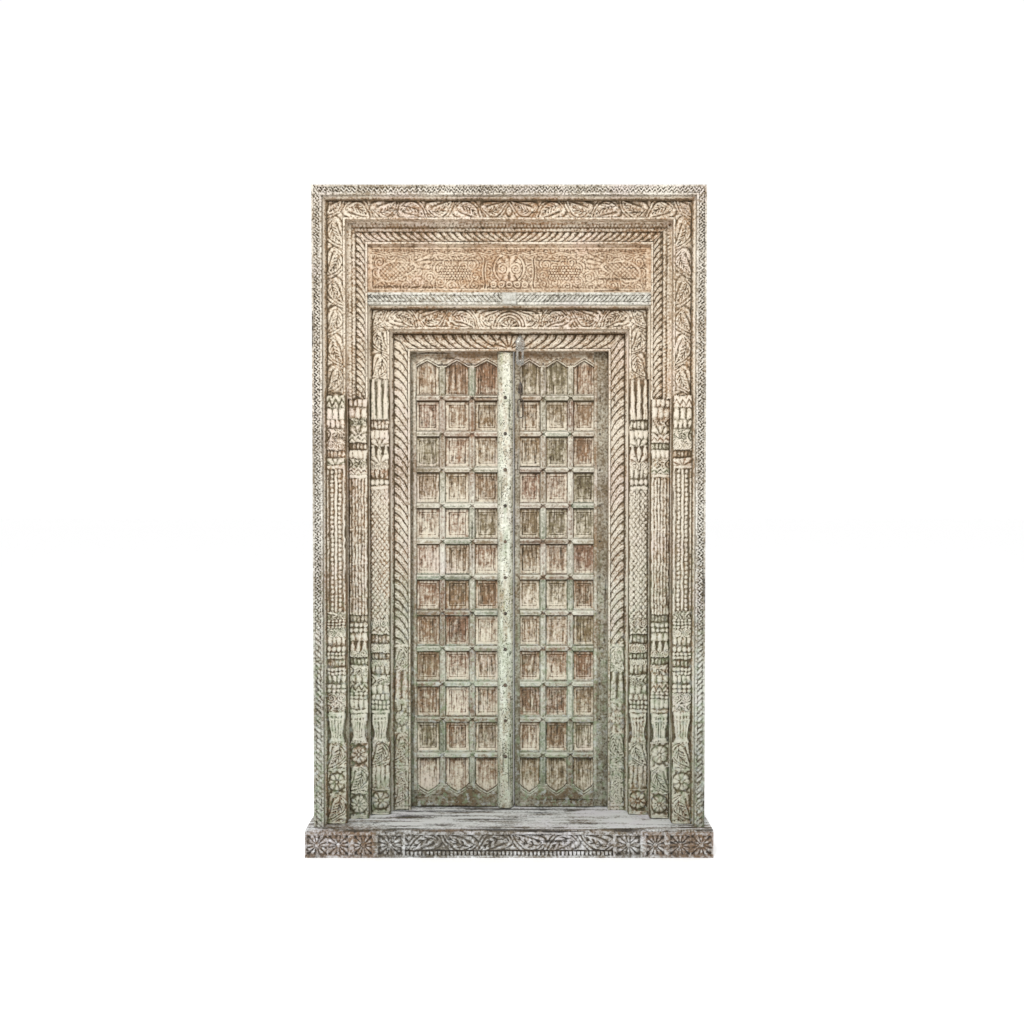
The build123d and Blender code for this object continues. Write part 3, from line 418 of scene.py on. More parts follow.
def timber(name, finish, stretch, green=0.4, tint=1.0, carved=True):
    c = timberFinishes[finish]
    material, t, shader = newMaterial(name)
    shader["Specular IOR Level"].default_value = 0.25
    wood = rgb(*c["wood"])
    if "green" in c:
        hue = t.attribute("hue")
        wood = t.blend(hue, wood, rgb(*c["green"]))
        wood = t.blend(t.maths("MULTIPLY", hue, -1.0), wood, rgb(*c["brown"]))
    lime = t.add("ShaderNodeGroup", {
        "Wood": wood, "Wash": rgb(*c["wash"]), "Dirt And Shade": rgb(*c["dirtAndShade"]), "Cover": c["cover"],
        "Stretch": stretch, "Pocks": c.get("pocks", 0.25), "Chips": c["chips"],
    }, node_tree=limeTree)
    if carved:
        t.link(t.attribute("hollow"), lime.inputs["Hollow"])
        t.link(t.maths("ADD", t.attribute("tone"), t.attribute("drift")), lime.inputs["Tone"])
    colour = lime.outputs["Color"]
    if tint > 0:
        foot = t.add("ShaderNodeGroup", {"Color": colour, "Green": green, "Tint": tint}, node_tree=footTree)
        colour = foot.outputs["Color"]
    t.link(colour, shader["Base Color"])
    t.link(lime.outputs["Rough"], shader["Roughness"])
    grain = t.add("ShaderNodeBump", {"Height": lime.outputs["Height"], "Distance": 0.0012, "Strength": 0.8})
    t.link(grain.outputs["Normal"], shader["Normal"])
    return material


ironTones = {
    "forgedIron": {"dark": (56, 50, 44), "rust": (104, 88, 72), "pale": (146, 138, 126), "paleFrom": 0.54},
    "limedIron": {"dark": (84, 80, 74), "rust": (126, 112, 98), "pale": (186, 185, 176), "paleFrom": 0.47},
}


def ironMaterial(name):
    c = ironTones[name]
    material, t, shader = newMaterial(name)
    place = t.place()
    patch = t.band(t.noise(place, 60.0, 5.0, 0.65), 0.42, 0.62)
    speck = t.noise(place, 420.0, 4.0, 0.7)
    rust = t.blend(patch, rgb(*c["dark"]), rgb(*c["rust"]))
    pale = t.band(speck, c["paleFrom"], c["paleFrom"] + 0.14)
    t.link(t.blend(pale, rust, rgb(*c["pale"])), shader["Base Color"])
    t.link(t.band(patch, -0.6, 1.5), shader["Roughness"])
    t.link(t.maths("MULTIPLY_ADD", patch, -0.3, 0.3), shader["Metallic"])
    pits = t.add("ShaderNodeBump", {"Height": speck, "Distance": 0.0008, "Strength": 0.7})
    t.link(pits.outputs["Normal"], shader["Normal"])
    return material


carvedUpright = timber("carvedUpright", "carved_timber", standing)
carvedLevel = timber("carvedLevel", "carved_timber", lying)
transomWood = timber("transomWood", "transom_timber", lying)
ropeRailWood = timber("ropeRailWood", "rope_rail", lying)
keyWood = timber("keyWood", "key_block", lying, carved=False)
sillWood = timber("sillWood", "sill_timber", lying, tint=0)
edgeUpright = timber("edgeUpright", "edge", standing)
edgeLevel = timber("edgeLevel", "edge", lying)
latticeLevel = timber("latticeLevel", "lattice_timber", lying, green=0.6)
latticeUpright = timber("latticeUpright", "lattice_timber", standing, green=0.6)
boardWood = timber("boardWood", "board_timber", standing, green=0.12, tint=0.35)
astragalWood = timber("astragalWood", "astragal_timber", standing, green=0.2, tint=0.6)
plainWood = timber("plainWood", "plain_timber", lying, carved=False)
plainUpright = timber("plainUpright", "plain_timber", standing, carved=False)
forgedIron, limedIron = (ironMaterial(name) for name in ironTones)
print("materials made")


# Carved fields

def scrollField(s, w, width, pitch, lineGap, seed, vein=13.0):
    # a wave of pointed, veined leaves with carved lines sweeping round them; from 0 to 1
    s = s + 5.0 * smoothNoise(s / 47, w / 31, seed)
    w = w + 2.4 * smoothNoise(s / 29, w / 23, seed + 1)
    bay = np.floor(s / pitch)
    half, slim = 0.40 * pitch, 0.27 * width  # half a leaf's length and width
    bow = (half ** 2 - slim ** 2) / (2 * slim)
    best, inside, curl = np.full(s.shape, 1e9), np.zeros(s.shape), np.zeros(s.shape)
    for k in (-1, 0, 1):
        sign = np.where((bay + k) % 2 == 0, 1, -1)
        a, b = s - (bay + k + 0.5) * pitch, (w - 0.5 * width) * sign + 0.04 * width
        b = b + 0.28 * width * ((a / half) ** 2 - 0.4)
        p, q = 0.90 * a + 0.43 * b, 0.90 * b - 0.43 * a  # along and across the leaf
        away = np.hypot(p, np.abs(q) + bow) - (slim + bow)
        feather = ridges((p + 1.2 * np.abs(q)) / vein, 0.6) * np.clip(np.abs(q) / 1.6, 0.25, 1)
        inside = np.where(away < best, feather, inside)
        best = np.minimum(best, away)
        eye = np.hypot(p - 1.06 * half, q + 0.12 * width)  # a small curl at the leaf's tip
        curl = np.maximum(curl, np.where(eye < 0.17 * width, crests(eye / (0.115 * width), 0.5), 0))
    rim = np.sqrt(bump(best, 0, 2.6))
    fill = np.where(best < 0, 0.9 * inside, 0.8 * crests(best / lineGap, 0.55))
    edge = np.clip(np.minimum(w, width - w) / 2.5, 0, 1) ** 0.5
    return edge * np.maximum.reduce([rim, fill, curl])


def leafRope(s, w, width, pitch, seed):
    # leaves laid over one another, falling towards the doorway; from 0 to 1
    wander = 0.16 * smoothNoise(s / 60, w / 40, seed) + 0.05 * smoothNoise(s / 9, w / 14, seed + 1)
    share = np.clip(w / width, 0, 1)
    f = ((s + pitch * wander + 1.1 * width * share ** 1.7) / pitch) % 1
    leaf = ridges(f ** 0.85, 0.6) * (0.5 + 0.5 * ridges(3 * f, 0.6))
    ends = np.clip(np.minimum(share / 0.10, (1 - share) / 0.07), 0, 1) ** 0.5
    knob = dome((share - 0.13) * width / 5.5, (f - 0.5) * pitch / 6.5)
    return np.maximum(ends * leaf, 0.95 * knob)


# Rows of ornament on the pilasters: t runs up a row, x across it, all from about 0 to 1

def lobesRow(t, x, n, tall, wide):
    return ridges(t, 0.45) * ridges(n * x, 0.55)


def dropsRow(t, x, n, tall, wide):
    hang = t ** 0.5 * np.clip(1.02 - t, 0, 1) ** 0.2
    return hang * np.clip(ridges(n * x, 1) - 0.75 * (1 - t) ** 2, 0, None) ** 0.5


def bandRow(t, x, n, tall, wide):
    folds = max(1, round(tall / 14))
    return ridges(folds * t, 0.5) * (0.8 + 0.2 * ridges(7 * (x + 0.4 * t), 1))


def gapRow(t, x, n, tall, wide):
    return ridges(n * x, 0.6) * ridges(t, 0.6)


def chevronsRow(t, x, n, tall, wide):
    fold = np.abs(2 * ((x * n) % 1) - 1)
    return ridges(1.5 * t + 0.75 * fold, 1)


def beadsRow(t, x, n, tall, wide):
    rows = max(1, round(tall / (wide / n)))
    return dome(((x * n) % 1 - 0.5) / 0.47, ((t * rows) % 1 - 0.5) / 0.47)


def petalsRow(t, x, n, tall, wide):
    angle = np.arctan2((x - 0.5) * wide, t * tall * 0.9 + 4)
    reach = np.hypot((x - 0.5) * wide, t * tall) / (0.62 * wide)
    return petals(angle, n, 0.6) * ridges(np.clip(reach, 0.04, 0.96), 0.5)


def rosetteRow(t, x, n, tall, wide):
    a, b = (x - 0.5) * wide, (t - 0.5) * tall
    reach, angle = np.hypot(a, b) / (0.46 * min(wide, tall)), np.arctan2(b, a)
    petal = petals(angle, n / 2, 0.5) * np.sqrt(bump(reach, 0.58, 0.42))
    rim = np.maximum(ramp(np.abs(x - 0.5), 0.42, 0.45), ramp(np.abs(b), tall / 2 - 6, tall / 2 - 3))
    corner = ramp(reach, 1.12, 1.25) * np.abs(np.sin(6 * angle))
    return np.maximum.reduce([0.9 * petal, np.sqrt(bump(reach, 0, 0.2)), 0.8 * rim, 0.6 * corner])


def vaseRow(t, x, n, tall, wide):
    half = 0.34 + 0.12 * ramp(t, 0.25, 0.85) + 0.10 * ramp(t, 0.2, 0.0)
    inside = ramp(np.abs(x - 0.5), half, half - 0.05)
    flute = crests(n * (x - 0.5) / (2 * half), 0.6)
    rims = np.clip(bump(t, 0.93, 0.06) + bump(t, 0.10, 0.05) + bump(t, 0.76, 0.03), 0, 1)
    return inside * (0.7 + 0.7 * flute * (1 - rims) + 0.8 * np.sqrt(rims))


def beadShaftRow(t, x, n, tall, wide):
    # two strings of beads between three plain rods
    carving = np.zeros_like(x)
    v = (t * tall / 17) % 1 - 0.5
    for place in (0.30, 0.70):
        carving = np.maximum(carving, 0.7 * dome((x - place) * wide / 6.2, v / 0.48))
    for place in (0.05, 0.5, 0.95):
        carving = np.maximum(carving, 0.65 * np.sqrt(bump(x, place, 0.075)))
    return carving


def reedsRow(t, x, n, tall, wide):
    rings = np.abs((t * tall) % 128 - 64) < 3
    return 0.65 * ridges(n * x, 0.7) + 0.2 * rings


def diamondsRow(t, x, n, tall, wide):
    u = 0.75 * t * tall / (wide / n)
    knot = np.minimum(np.abs((x * n + u) % 1 - 0.5), np.abs((x * n - u) % 1 - 0.5))
    return np.clip(2.4 * knot, 0, 1) ** 0.7


def spiralsRow(t, x, n, tall, wide):
    a, b = ((x * n) % 1 - 0.5) * wide / n, (t - 0.5) * tall
    angle = np.arctan2(b, a * np.where(x < 0.5, 1, -1))
    return np.abs(np.sin(0.5 * angle + 0.42 * np.hypot(a, b))) ** 0.7


def leavesRow(t, x, n, tall, wide):
    fold = np.abs(2 * ((x * n) % 1) - 1)
    blade = np.clip(1 - fold - 0.55 * t ** 2, 0, 1)
    return 1.1 * np.clip(1.6 * blade, 0, 1) ** 0.6 - 0.4 * bump(fold, 0.0, 0.12) * (1 - t)


def foliageRow(t, x, n, tall, wide):
    return scrollField(t * tall, x * wide, wide, tall / n, 12.0, 40 + n)


# ground and rise in millimetres above the sunk field; tone: paler or darker
rowKinds = {
    "lobes": {"carve": lobesRow, "ground": 8, "rise": 10, "tone": 0.45},
    "drops": {"carve": dropsRow, "ground": 6, "rise": 12, "tone": 0.35},
    "band": {"carve": bandRow, "ground": 8, "rise": 8, "tone": 0.2},
    "gap": {"carve": gapRow, "ground": 4, "rise": 6, "tone": 0.0},
    "chevrons": {"carve": chevronsRow, "ground": 9, "rise": 7, "tone": 0.1},
    "beads": {"carve": beadsRow, "ground": 7, "rise": 11, "tone": 0.5},
    "petals": {"carve": petalsRow, "ground": 8, "rise": 9, "tone": 0.15},
    "rosette": {"carve": rosetteRow, "ground": 7, "rise": 10, "tone": 0.1},
    "vase": {"carve": vaseRow, "ground": 3, "rise": 10, "tone": 0.35},
    "beadShaft": {"carve": beadShaftRow, "ground": 7.5, "rise": 10, "tone": -0.18},
    "reeds": {"carve": reedsRow, "ground": 8, "rise": 10, "tone": 0.22},
    "diamonds": {"carve": diamondsRow, "ground": 8, "rise": 8, "tone": 0.65},
    "spirals": {"carve": spiralsRow, "ground": 8, "rise": 8, "tone": 0.3},
    "leaves": {"carve": leavesRow, "ground": 6, "rise": 10, "tone": 0.1},
    "foliage": {"carve": foliageRow, "ground": 5, "rise": 11, "tone": 0.1},
}

# Small ornaments stacked in tiers, picked in turn by chance
tierKinds = (
    ("lobes", 3), ("drops", 4), ("beads", 5), ("leaves", 3), ("spirals", 2), ("chevrons", 3), ("petals", 4),
    ("gap", 5), ("lobes", 4), ("foliage", 1), ("beads", 4),
)


def tierRows(top, foot, seed, small=22, large=38):
    pick = np.random.default_rng(seed)
    rows, z, last = [], top, -1
    while z > foot + small:
        kind = pick.integers(len(tierKinds))
        if kind != last:
            rows.append((z,) + tierKinds[kind])
            z -= pick.uniform(small, large)
        last = kind
    return tuple(rows) + ((max(z, foot + 6), "band", 0),)


# The five nested bands: shares across a band, heights of the rows, and sizes, in millimetres
# a head's top strip is darkened by a painted shadow under the lip of the band outside it
carvedBand = {
    "lip": 0.08, "sink": 9, "bevel": 12, "step": 2.5, "rowStep": 3.3, "stripShadowTone": -0.25, "headTone": -0.14,
}
bands = {
    "edge": {
        "strip": 0.20, "lip": 0.20, "sink": 5, "bevel": 0, "step": 2.4, "rowStep": 3.4,
        "pitch": 20, "rise": 6.5, "bead": (5, 4.5), "ropeBelow": (860, 800), "headFrom": 900,
    },
    "outer_scroll": {
        **carvedBand, "strip": 0.15, "pilaster": (0.10, 0.985), "pitch": 105, "upper": 1690, "lineGap": 14.0,
        "rows": (
            *tierRows(1690, 1428, 1, 28, 46), (1418, "beadShaft", 2), *tierRows(891, 520, 2),
            (520, "vase", 5), (404, "foliage", 1), (306, "rosette", 8), (210, "foliage", 1), (112, "band", 0),
        ),
    },
    "outer_rope": {
        **carvedBand, "strip": 0.42, "beaded": True, "pilaster": (0.04, 0.985), "pitch": 26, "upper": 1680,
        "rows": (
            *tierRows(1680, 1395, 3, 26, 44), (1385, "reeds", 6), *tierRows(873, 500, 4), (500, "vase", 6),
            (392, "rosette", 8), (297, "foliage", 1), (202, "rosette", 10), (112, "band", 0),
        ),
    },
    "inner_scroll": {
        **carvedBand, "strip": 0.14, "pilaster": (0.04, 0.985), "pitch": 105, "upper": 1760, "lineGap": 11.5,
        "blades": 5.5, "fan": 0.45,
        "rows": (
            (1760, "leaves", 3), *tierRows(1608, 1352, 5, 26, 44), (1340, "diamonds", 4),
            *tierRows(848, 490, 6), (490, "vase", 5), (381, "foliage", 1), (290, "drops", 4),
            (200, "rosette", 8), (112, "band", 0),
        ),
    },
    "inner_rope": {
        **carvedBand, "strip": 0.14, "pitch": 37, "upper": 747, "rowRise": 0.62, "blades": 6.5, "fan": 1.0,
        "rebate": 22, "jambTone": 0.15,
        "rows": (
            (747, "band", 0), (735, "foliage", 1), (640, "leaves", 2), (535, "band", 0), (520, "rosette", 8),
            (401, "foliage", 1), (286, "band", 0), (262, "foliage", 2), (128, "band", 0),
        ),
    },
}
bandPaint = {
    "ropeRise": 9.5, "scrollGround": 2.5, "scrollRise": 8, "shades": (-0.28, 0.42), "hues": (-0.8, 1.0),
}


def bandPlaces(name, c):
    jambLow, jambHigh = boxMm(f"left_{name}_jamb")
    headLow, headHigh = boxMm(f"{name}_head")
    return {
        "outerX": -jambLow[0], "innerX": -jambHigh[0], "footZ": jambLow[2], "outerZ": headHigh[2],
        "innerZ": headLow[2], "faceY": headLow[1] + c["bevel"],
        "jambBackY": jambHigh[1], "headBackY": headHigh[1],
    }


def acrossColumns(width, c):
    # zone 0: strip, 1: sunk field, 2: lip
    wall, stripStep = 0.7, 3
    start, end = c["strip"] * width, (1 - c["lip"]) * width
    strip = np.linspace(0, start, max(4, round(start / stripStep)))
    field = np.linspace(start + wall, end - wall, round((end - start) / c["step"]))
    lip = np.linspace(end, width, 3)
    zone = np.concatenate([strip * 0, field * 0 + 1, lip * 0 + 2])
    return np.concatenate([strip, field, lip]), zone, start, end - start


def bandProfile(v, zone, width, c):
    # plain moulding: bevelled strip with a bead and a quirk, sunk field, rounded lip
    t = v / (c["strip"] * width)
    strip = c["bevel"] * (1 - np.clip(t, 0, 1)) ** 1.25 + 1.6 * bump(t, 0.86, 0.13) - 1.3 * bump(t, 0.62, 0.1)
    lip = -1.2 * ((v / width - 1 + c["lip"]) / c["lip"]) ** 2
    return np.where(zone == 0, strip, np.where(zone == 1, -c["sink"], lip))


def edgeCarving(c, s, w, width):
    # zigzag leaf-and-bead above, slanting rope below
    share, turns = w / width, s / c["pitch"]
    zigzag = np.sqrt(bump(share, 0.18 + 0.64 * np.abs((turns % 1) * 2 - 1), 0.24))
    for place, shift in ((0.86, 0.0), (0.14, 0.5)):
        v = ((turns + shift) % 1 - 0.5) * c["pitch"]
        zigzag = np.maximum(zigzag, 0.9 * dome(v / c["bead"][0], (share - place) * width / c["bead"][1]))
    rope = ridges((s + 0.9 * w) / c["pitch"], 0.6) * np.sqrt(bump(share, 0.5, 0.56))
    low = ramp(s, *c["ropeBelow"])
    return c["rise"] * (zigzag * (1 - low) + rope * low)


def bandCarving(name, c, s, w, width, span, seed):
    # height of the carving above the sunk field; s runs along the band, w across its field
    if name == "edge":
        return edgeCarving(c, s, w, width)
    if name.endswith("rope"):
        return bandPaint["ropeRise"] * leafRope(s, w, width, c["pitch"], seed)
    low, high = span
    pitch = (high - low) / max(1, round((high - low) / c["pitch"]))
    return bandPaint["scrollGround"] + bandPaint["scrollRise"] * scrollField(
        s - low, w, width, pitch, c["lineGap"], seed)


def headFan(c, s, w, width, carving):
    # blades spread from the middle of a head, with arcs round them where there is room
    reach, angle = np.hypot(s, w - width) / width, np.arctan2(s, width - w)
    blades = petals(angle, c["blades"], 0.6) * ridges(np.clip(reach / (1.05 * c["fan"]), 0.03, 1), 0.5)
    blades = np.maximum(blades, np.sqrt(bump(reach, 0, 0.2 * c["fan"])))
    arcs = crests((reach - c["fan"]) * width / c.get("lineGap", 1), 0.55)
    fan = np.where(reach < 1.02 * c["fan"], blades, 0.85 * arcs)
    return np.where(reach < 1.02, 1 + 9.5 * fan, carving)


def beadStrip(along, v, stripWidth):
    # two rows of fine beads on a plain strip
    pitch, half, rise = 13, 5.4, 4.0
    total = 0
    for place, shift in ((0.36, 0.0), (0.76, 0.5)):
        u = (along / pitch + shift) % 1 - 0.5
        total = total + rise * dome(u / 0.47, (v - place * stripWidth) / half)
    return total


def pilasterCarving(c, z, w, width, footZ, seed):
    # stacked rows on the lower part of a jamb, with the tone and the wood of each
    carving, tone, hue = np.full(z.shape, 4.0), np.zeros(z.shape), np.zeros(z.shape)
    x = np.clip(w / width + 0.03 * smoothNoise(z / 21, w / 17, seed + 5), 0, 1)
    z = z + 2.6 * smoothNoise(z / 33, w / 19, seed)
    rows = c["rows"]
    feet = [row[0] for row in rows[1:]] + [footZ]
    spread = np.random.default_rng(seed)
    shades = spread.uniform(*bandPaint["shades"], len(rows))
    hues = spread.uniform(*bandPaint["hues"], len(rows))
    side = np.clip(np.minimum(x, 1 - x) / 0.045, 0.2, 1) ** 0.5
    for (top, kind, count), foot, shade, wood in zip(rows, feet, shades, hues):
        look = rowKinds[kind]
        tall = top - foot
        here = (z <= top) & (z > foot)
        row = look["carve"](np.clip((z - foot) / tall, 0, 1), x, count, tall, width)
        row = look["ground"] + look["rise"] * row
        carving = np.where(here, c.get("rowRise", 1.0) * row * side, carving)
        tone = np.where(here, look["tone"] + shade, tone)
        hue = np.where(here, wood * (0.35 if tall > 300 else 1.0), hue)  # a long shaft keeps to one wood
    return carving, tone, hue


def makeJamb(name, c, p, side, seed):
    width = p["outerX"] - p["innerX"]
    v, zone, start, field = acrossColumns(width, c)
    count = round((p["outerZ"] - p["footZ"]) / c["rowStep"])
    t = np.linspace(0, 1, count)[:, None]

    def mitreZ(across):
        return p["outerZ"] - across / width * (p["outerZ"] - p["innerZ"])

    z = p["footZ"] + t * (mitreZ(v) - p["footZ"])
    v = np.broadcast_to(v, z.shape)
    carving = bandCarving(name, c, z, v - start, field, (c.get("upper", 0), p["innerZ"]), seed)
    height = bandProfile(v, zone, width, c) + np.where(zone == 1, carving, 0)
    tone = 0.15 * smoothNoise(z / 90, v / 60, seed + 2) + c.get("jambTone", 0.0)
    hue = 0.8 * smoothNoise(z / 120, v / 40, seed + 3) * ramp(z, 1500, 900)
    if "beaded" in c:
        height = height + beadStrip(z, v, c["strip"] * width)
        tone = np.where(zone == 0, tone - 0.2, tone)
    if "rows" in c:
        low, high = np.array(c["pilaster"]) * width if "pilaster" in c else (start, start + field)
        rows, shades, hues = pilasterCarving(c, z, v - low, high - low, p["footZ"], seed)
        here = (z <= c["upper"]) & (v > low) & (v < high)
        height = np.where(here, rows - c["sink"], height)
        tone = np.where(here, shades, np.where(z <= c["upper"], tone - 0.25, tone))
        hue = np.where(here, hues, hue)
    height = height + handWork(z, v, seed)
    outline = [(p["innerX"], p["jambBackY"]), (p["outerX"], p["jambBackY"])]
    if "rebate" in c:
        # the leaf shuts into it, and the pivot beam lies behind its upper end
        rebateY, shut = p["headBackY"], p["innerX"] + c["rebate"]
        deep = np.where(z[:, 0] > boxMm("pivot_beam")[0][2], rebateY, p["jambBackY"])
        outline = [(p["innerX"], rebateY), (shut, rebateY), (shut, deep), (p["outerX"], deep)]
    back = []
    for atX, y in outline:
        level = p["footZ"] + t[:, 0] * (mitreZ(p["outerX"] - atX) - p["footZ"])
        back.append(backRow(-atX, y, level))
    rings = frontLoop(v - p["outerX"], p["faceY"] - height, z, back)
    rings[..., 0] *= 1 if side == "left" else -1
    node = f"{side}_{name}_jamb"
    paint = edgeUpright if name == "edge" else carvedUpright
    layers = surface(height, len(back), tone, hue)
    loftPiece("carved_" + node, rings, "surround", node, paint, layers)


def mirrored(half):
    return np.vstack([half, half[-2::-1]])


def makeHead(name, c, p, seed):
    width = p["outerZ"] - p["innerZ"]
    v, zone, start, field = acrossColumns(width, c)
    t = np.linspace(1, 0, round(p["outerX"] / c["rowStep"]))[:, None]
    s = t * (p["outerX"] - v / width * (p["outerX"] - p["innerX"]))
    w = v - start + 0 * s
    carving = bandCarving(name, c, s + c.get("headFrom", 0), w, field, (0, p["innerX"]), seed)
    if "blades" in c:
        carving = headFan(c, s, w, field, carving)
    height = bandProfile(v, zone, width, c) + np.where(zone == 1, carving, 0)
    if "beaded" in c:
        height = height + beadStrip(s, v, c["strip"] * width)
    x = np.vstack([-s, s[-2::-1]])
    v = np.broadcast_to(v, x.shape)
    along = x + noiseFrom["level"]
    height = mirrored(height) + handWork(along, v, seed)
    tone = 0.2 * smoothNoise(along / 80, v / 60, seed + 2)
    # painted shadow: the head's top strip darkens under the outer band's lip
    tone = tone + c.get("headTone", 0) + c.get("stripShadowTone", 0) * (zone == 0)
    ends = np.concatenate([-t[:, 0], t[-2::-1, 0]])
    back = [backRow(ends * p[side + "X"], p["headBackY"], p[side + "Z"]) for side in ("inner", "outer")]
    rings = frontLoop(x, p["faceY"] - height, p["outerZ"] - v, back)
    paint = edgeLevel if name == "edge" else carvedLevel
    layers = surface(height, len(back), tone, -0.3)
    loftPiece(f"carved_{name}_head", rings, "surround", f"{name}_head", paint, layers)


for seed, (bandName, bandSizes) in enumerate(bands.items()):
    places = bandPlaces(bandName, bandSizes)
    makeJamb(bandName, bandSizes, places, "left", 10 + seed)
    makeJamb(bandName, bandSizes, places, "right", 30 + seed)
    makeHead(bandName, bandSizes, places, 50 + seed)
print("carved bands made")


# A level carved member: rows run along x, columns up z

def levelPiece(name, node, columns, rowStep, carve, material):
    low, high = boxMm(node)
    x = np.linspace(low[0], high[0], 2 * round((high[0] - low[0]) / rowStep / 2) + 1)[:, None]
    x, z = np.broadcast_arrays(x, columns)
    height, tone = carve(x, z)
    back = [backRow(x[:, 0], high[1], edge) for edge in (high[2], low[2])]
    rings = frontLoop(x, low[1] - np.clip(height, None, 0), z, back)
    loftPiece(name, rings, "surround", node, material, surface(height, len(back), tone))


# Transom panel: two spirals in a medallion, a garland, packed curls, grapes, a scaled fish at each end
transom = {
    "fillet": 16, "sink": 7, "step": 2.5, "curlSpacing": 44, "curlRing": 10.0,
    "medallion": 56, "spiralAt": 25, "spiralReach": 24.5, "spiralRing": 10.5,
    "discPitch": 30, "discZ": -58, "disc": 14.5, "pillarAt": 92, "pillarTop": 38,
    "garlandDrop": 22, "garlandWide": 9, "garlandPitch": 78,
    "fishAt": (432, -8), "fish": (74, 40), "fishRise": 0.2, "tailAt": (404, 2), "tail": 112, "tailFrom": 380,
    "grapesAt": (205, -14), "grapes": (62, 30), "grapePitch": (11, 10), "grape": 5.2,
}


def curledGround(s, w, spacing, ring, seed):
    # packed spiral curls round scattered centres
    spread = np.random.default_rng(seed)
    best, swirl = np.full(s.shape, 1e9), np.zeros(s.shape)
    for i in range(-1, int(s.max() / spacing) + 2):
        for j in range(-2, 3):
            atS = (i + spread.uniform(-0.3, 0.3)) * spacing
            atW = (j + 0.5 * (i % 2) + spread.uniform(-0.2, 0.2)) * spacing
            hand = spread.choice((-1, 1))
            away = np.hypot(s - atS, w - atW)
            swirl = np.where(away < best, hand * np.arctan2(w - atW, s - atS), swirl)
            best = np.minimum(best, away)
    return np.abs(np.sin(np.pi * best / ring + 0.5 * swirl)) ** 0.55


def medallionCarving(c, s, w, carving):
    # ring and petals, a spiral on each side, a row of discs below, a thin pillar at each side
    reach, angle = np.hypot(s, w - 2), np.arctan2(w - 2, s)
    ring = np.sqrt(bump(reach, c["medallion"], 5))
    ringed = np.where(reach > c["medallion"] - 6, ring, petals(angle, 5, 0.5))
    carving = np.where(reach < c["medallion"] + 6, ringed, carving)
    eye, turn = np.hypot(s - c["spiralAt"], w), np.arctan2(w, s - c["spiralAt"])
    spiral = np.abs(np.sin(np.pi * eye / c["spiralRing"] - 0.5 * turn)) ** 0.5
    carving = np.where(eye < c["spiralReach"], np.maximum(spiral, bump(eye, 0, 5)), carving)
    discs = np.hypot((s + c["discPitch"] / 2) % c["discPitch"] - c["discPitch"] / 2, w - c["discZ"])
    carving = np.where((discs < c["disc"]) & (s < c["pillarAt"]), crests(discs / 9.5, 0.5), carving)
    away = np.abs(s - c["pillarAt"])
    return np.where((away < 9) & (w < c["pillarTop"]), np.sqrt(bump(away, 5, 4)), carving)


def fishCarving(c, s, w, carving):
    # scaled body with a raised rim, rising towards its fan-shaped tail
    lifted = w - c["fishRise"] * (c["fishAt"][0] - s)
    u, v = (s - c["fishAt"][0]) / c["fish"][0], (lifted - c["fishAt"][1]) / c["fish"][1]
    shape = np.hypot(np.where(u < 0, u * 0.8, u * 1.15), v * (1 + 0.5 * np.clip(-u, 0, 1)))
    scales = np.abs(np.sin(0.2 * (s + w)) * np.sin(0.2 * (s - w)))
    carving = np.where(shape < 1, np.where(shape > 0.84, 1.0, 0.2 + 0.75 * scales), carving)
    a, b = c["tailAt"][0] - s, lifted - c["tailAt"][1]
    angle, reach = np.arctan2(b, a), np.hypot(a, b)
    rays = petals(angle, 17, 0.5) * (0.55 + 0.45 * np.abs(np.sin(reach / 9)))
    fan = (reach < c["tail"]) & (np.abs(angle) < 0.37) & (s < c["tailFrom"]) & (shape > 1)
    return np.where(fan, 0.9 * rays, carving)


def grapesCarving(c, s, w, carving):
    pitchS, pitchW = c["grapePitch"]
    row = np.floor(w / pitchW)
    grape = np.hypot((s + pitchS / 2 * (row % 2)) % pitchS - pitchS / 2, w - (row + 0.5) * pitchW)
    bunch = np.hypot((s - c["grapesAt"][0]) / c["grapes"][0], (w - c["grapesAt"][1]) / c["grapes"][1])
    return np.where(bunch < 1, np.sqrt(bump(grape, 0, c["grape"])), carving)


def makeTransom(c):
    low, high = boxMm("transom_panel")
    middle = (low[2] + high[2]) / 2
    field = (high[2] - low[2]) / 2 - c["fillet"]
    halfWidth = high[0] - c["fillet"]

    def carve(x, z):
        # one half, mirrored
        across = np.abs(x[: len(x) // 2 + 1])
        w = z[: len(x) // 2 + 1] - middle
        s = across + 3 * smoothNoise(across / 33, w / 27, 70)
        curls = curledGround(s, w, c["curlSpacing"], c["curlRing"], 73)
        carving = 0.8 * curls * (0.8 + 0.2 * np.abs(np.sin((s + 2 * w) / 6)))
        carving = medallionCarving(c, s, w, carving)
        hang = w - field + c["garlandDrop"] - 9 * ridges(s / c["garlandPitch"], 1)
        carving = np.where(np.abs(hang) < c["garlandWide"], crests(hang / c["garlandWide"], 0.5), carving)
        carving = grapesCarving(c, s, w, fishCarving(c, s, w, carving))
        groove = -1.8 * bump(np.abs(w), field + 8, 2.2)
        inside = (np.abs(w) < field) & (across < halfWidth)
        carving = np.where(inside, c["sink"] * (0.95 * carving - 1.0), groove)
        along = x + noiseFrom["transom"]
        return mirrored(carving) + 0.9 * handWork(along, z, 71), 0.25 * smoothNoise(along / 70, z / 50, 75)

    columns = np.linspace(low[2], high[2], round((high[2] - low[2]) / c["step"]))
    levelPiece("carved_transom", "transom_panel", columns, c["step"], carve, transomWood)


makeTransom(transom)

# Rope rail under the transom: slanting leaves that part at the key block
ropeRail = {"margin": 9, "pitch": 15, "height": 6.0, "sink": 5.5, "step": 2.4, "wall": 0.6, "tone": 0.12}


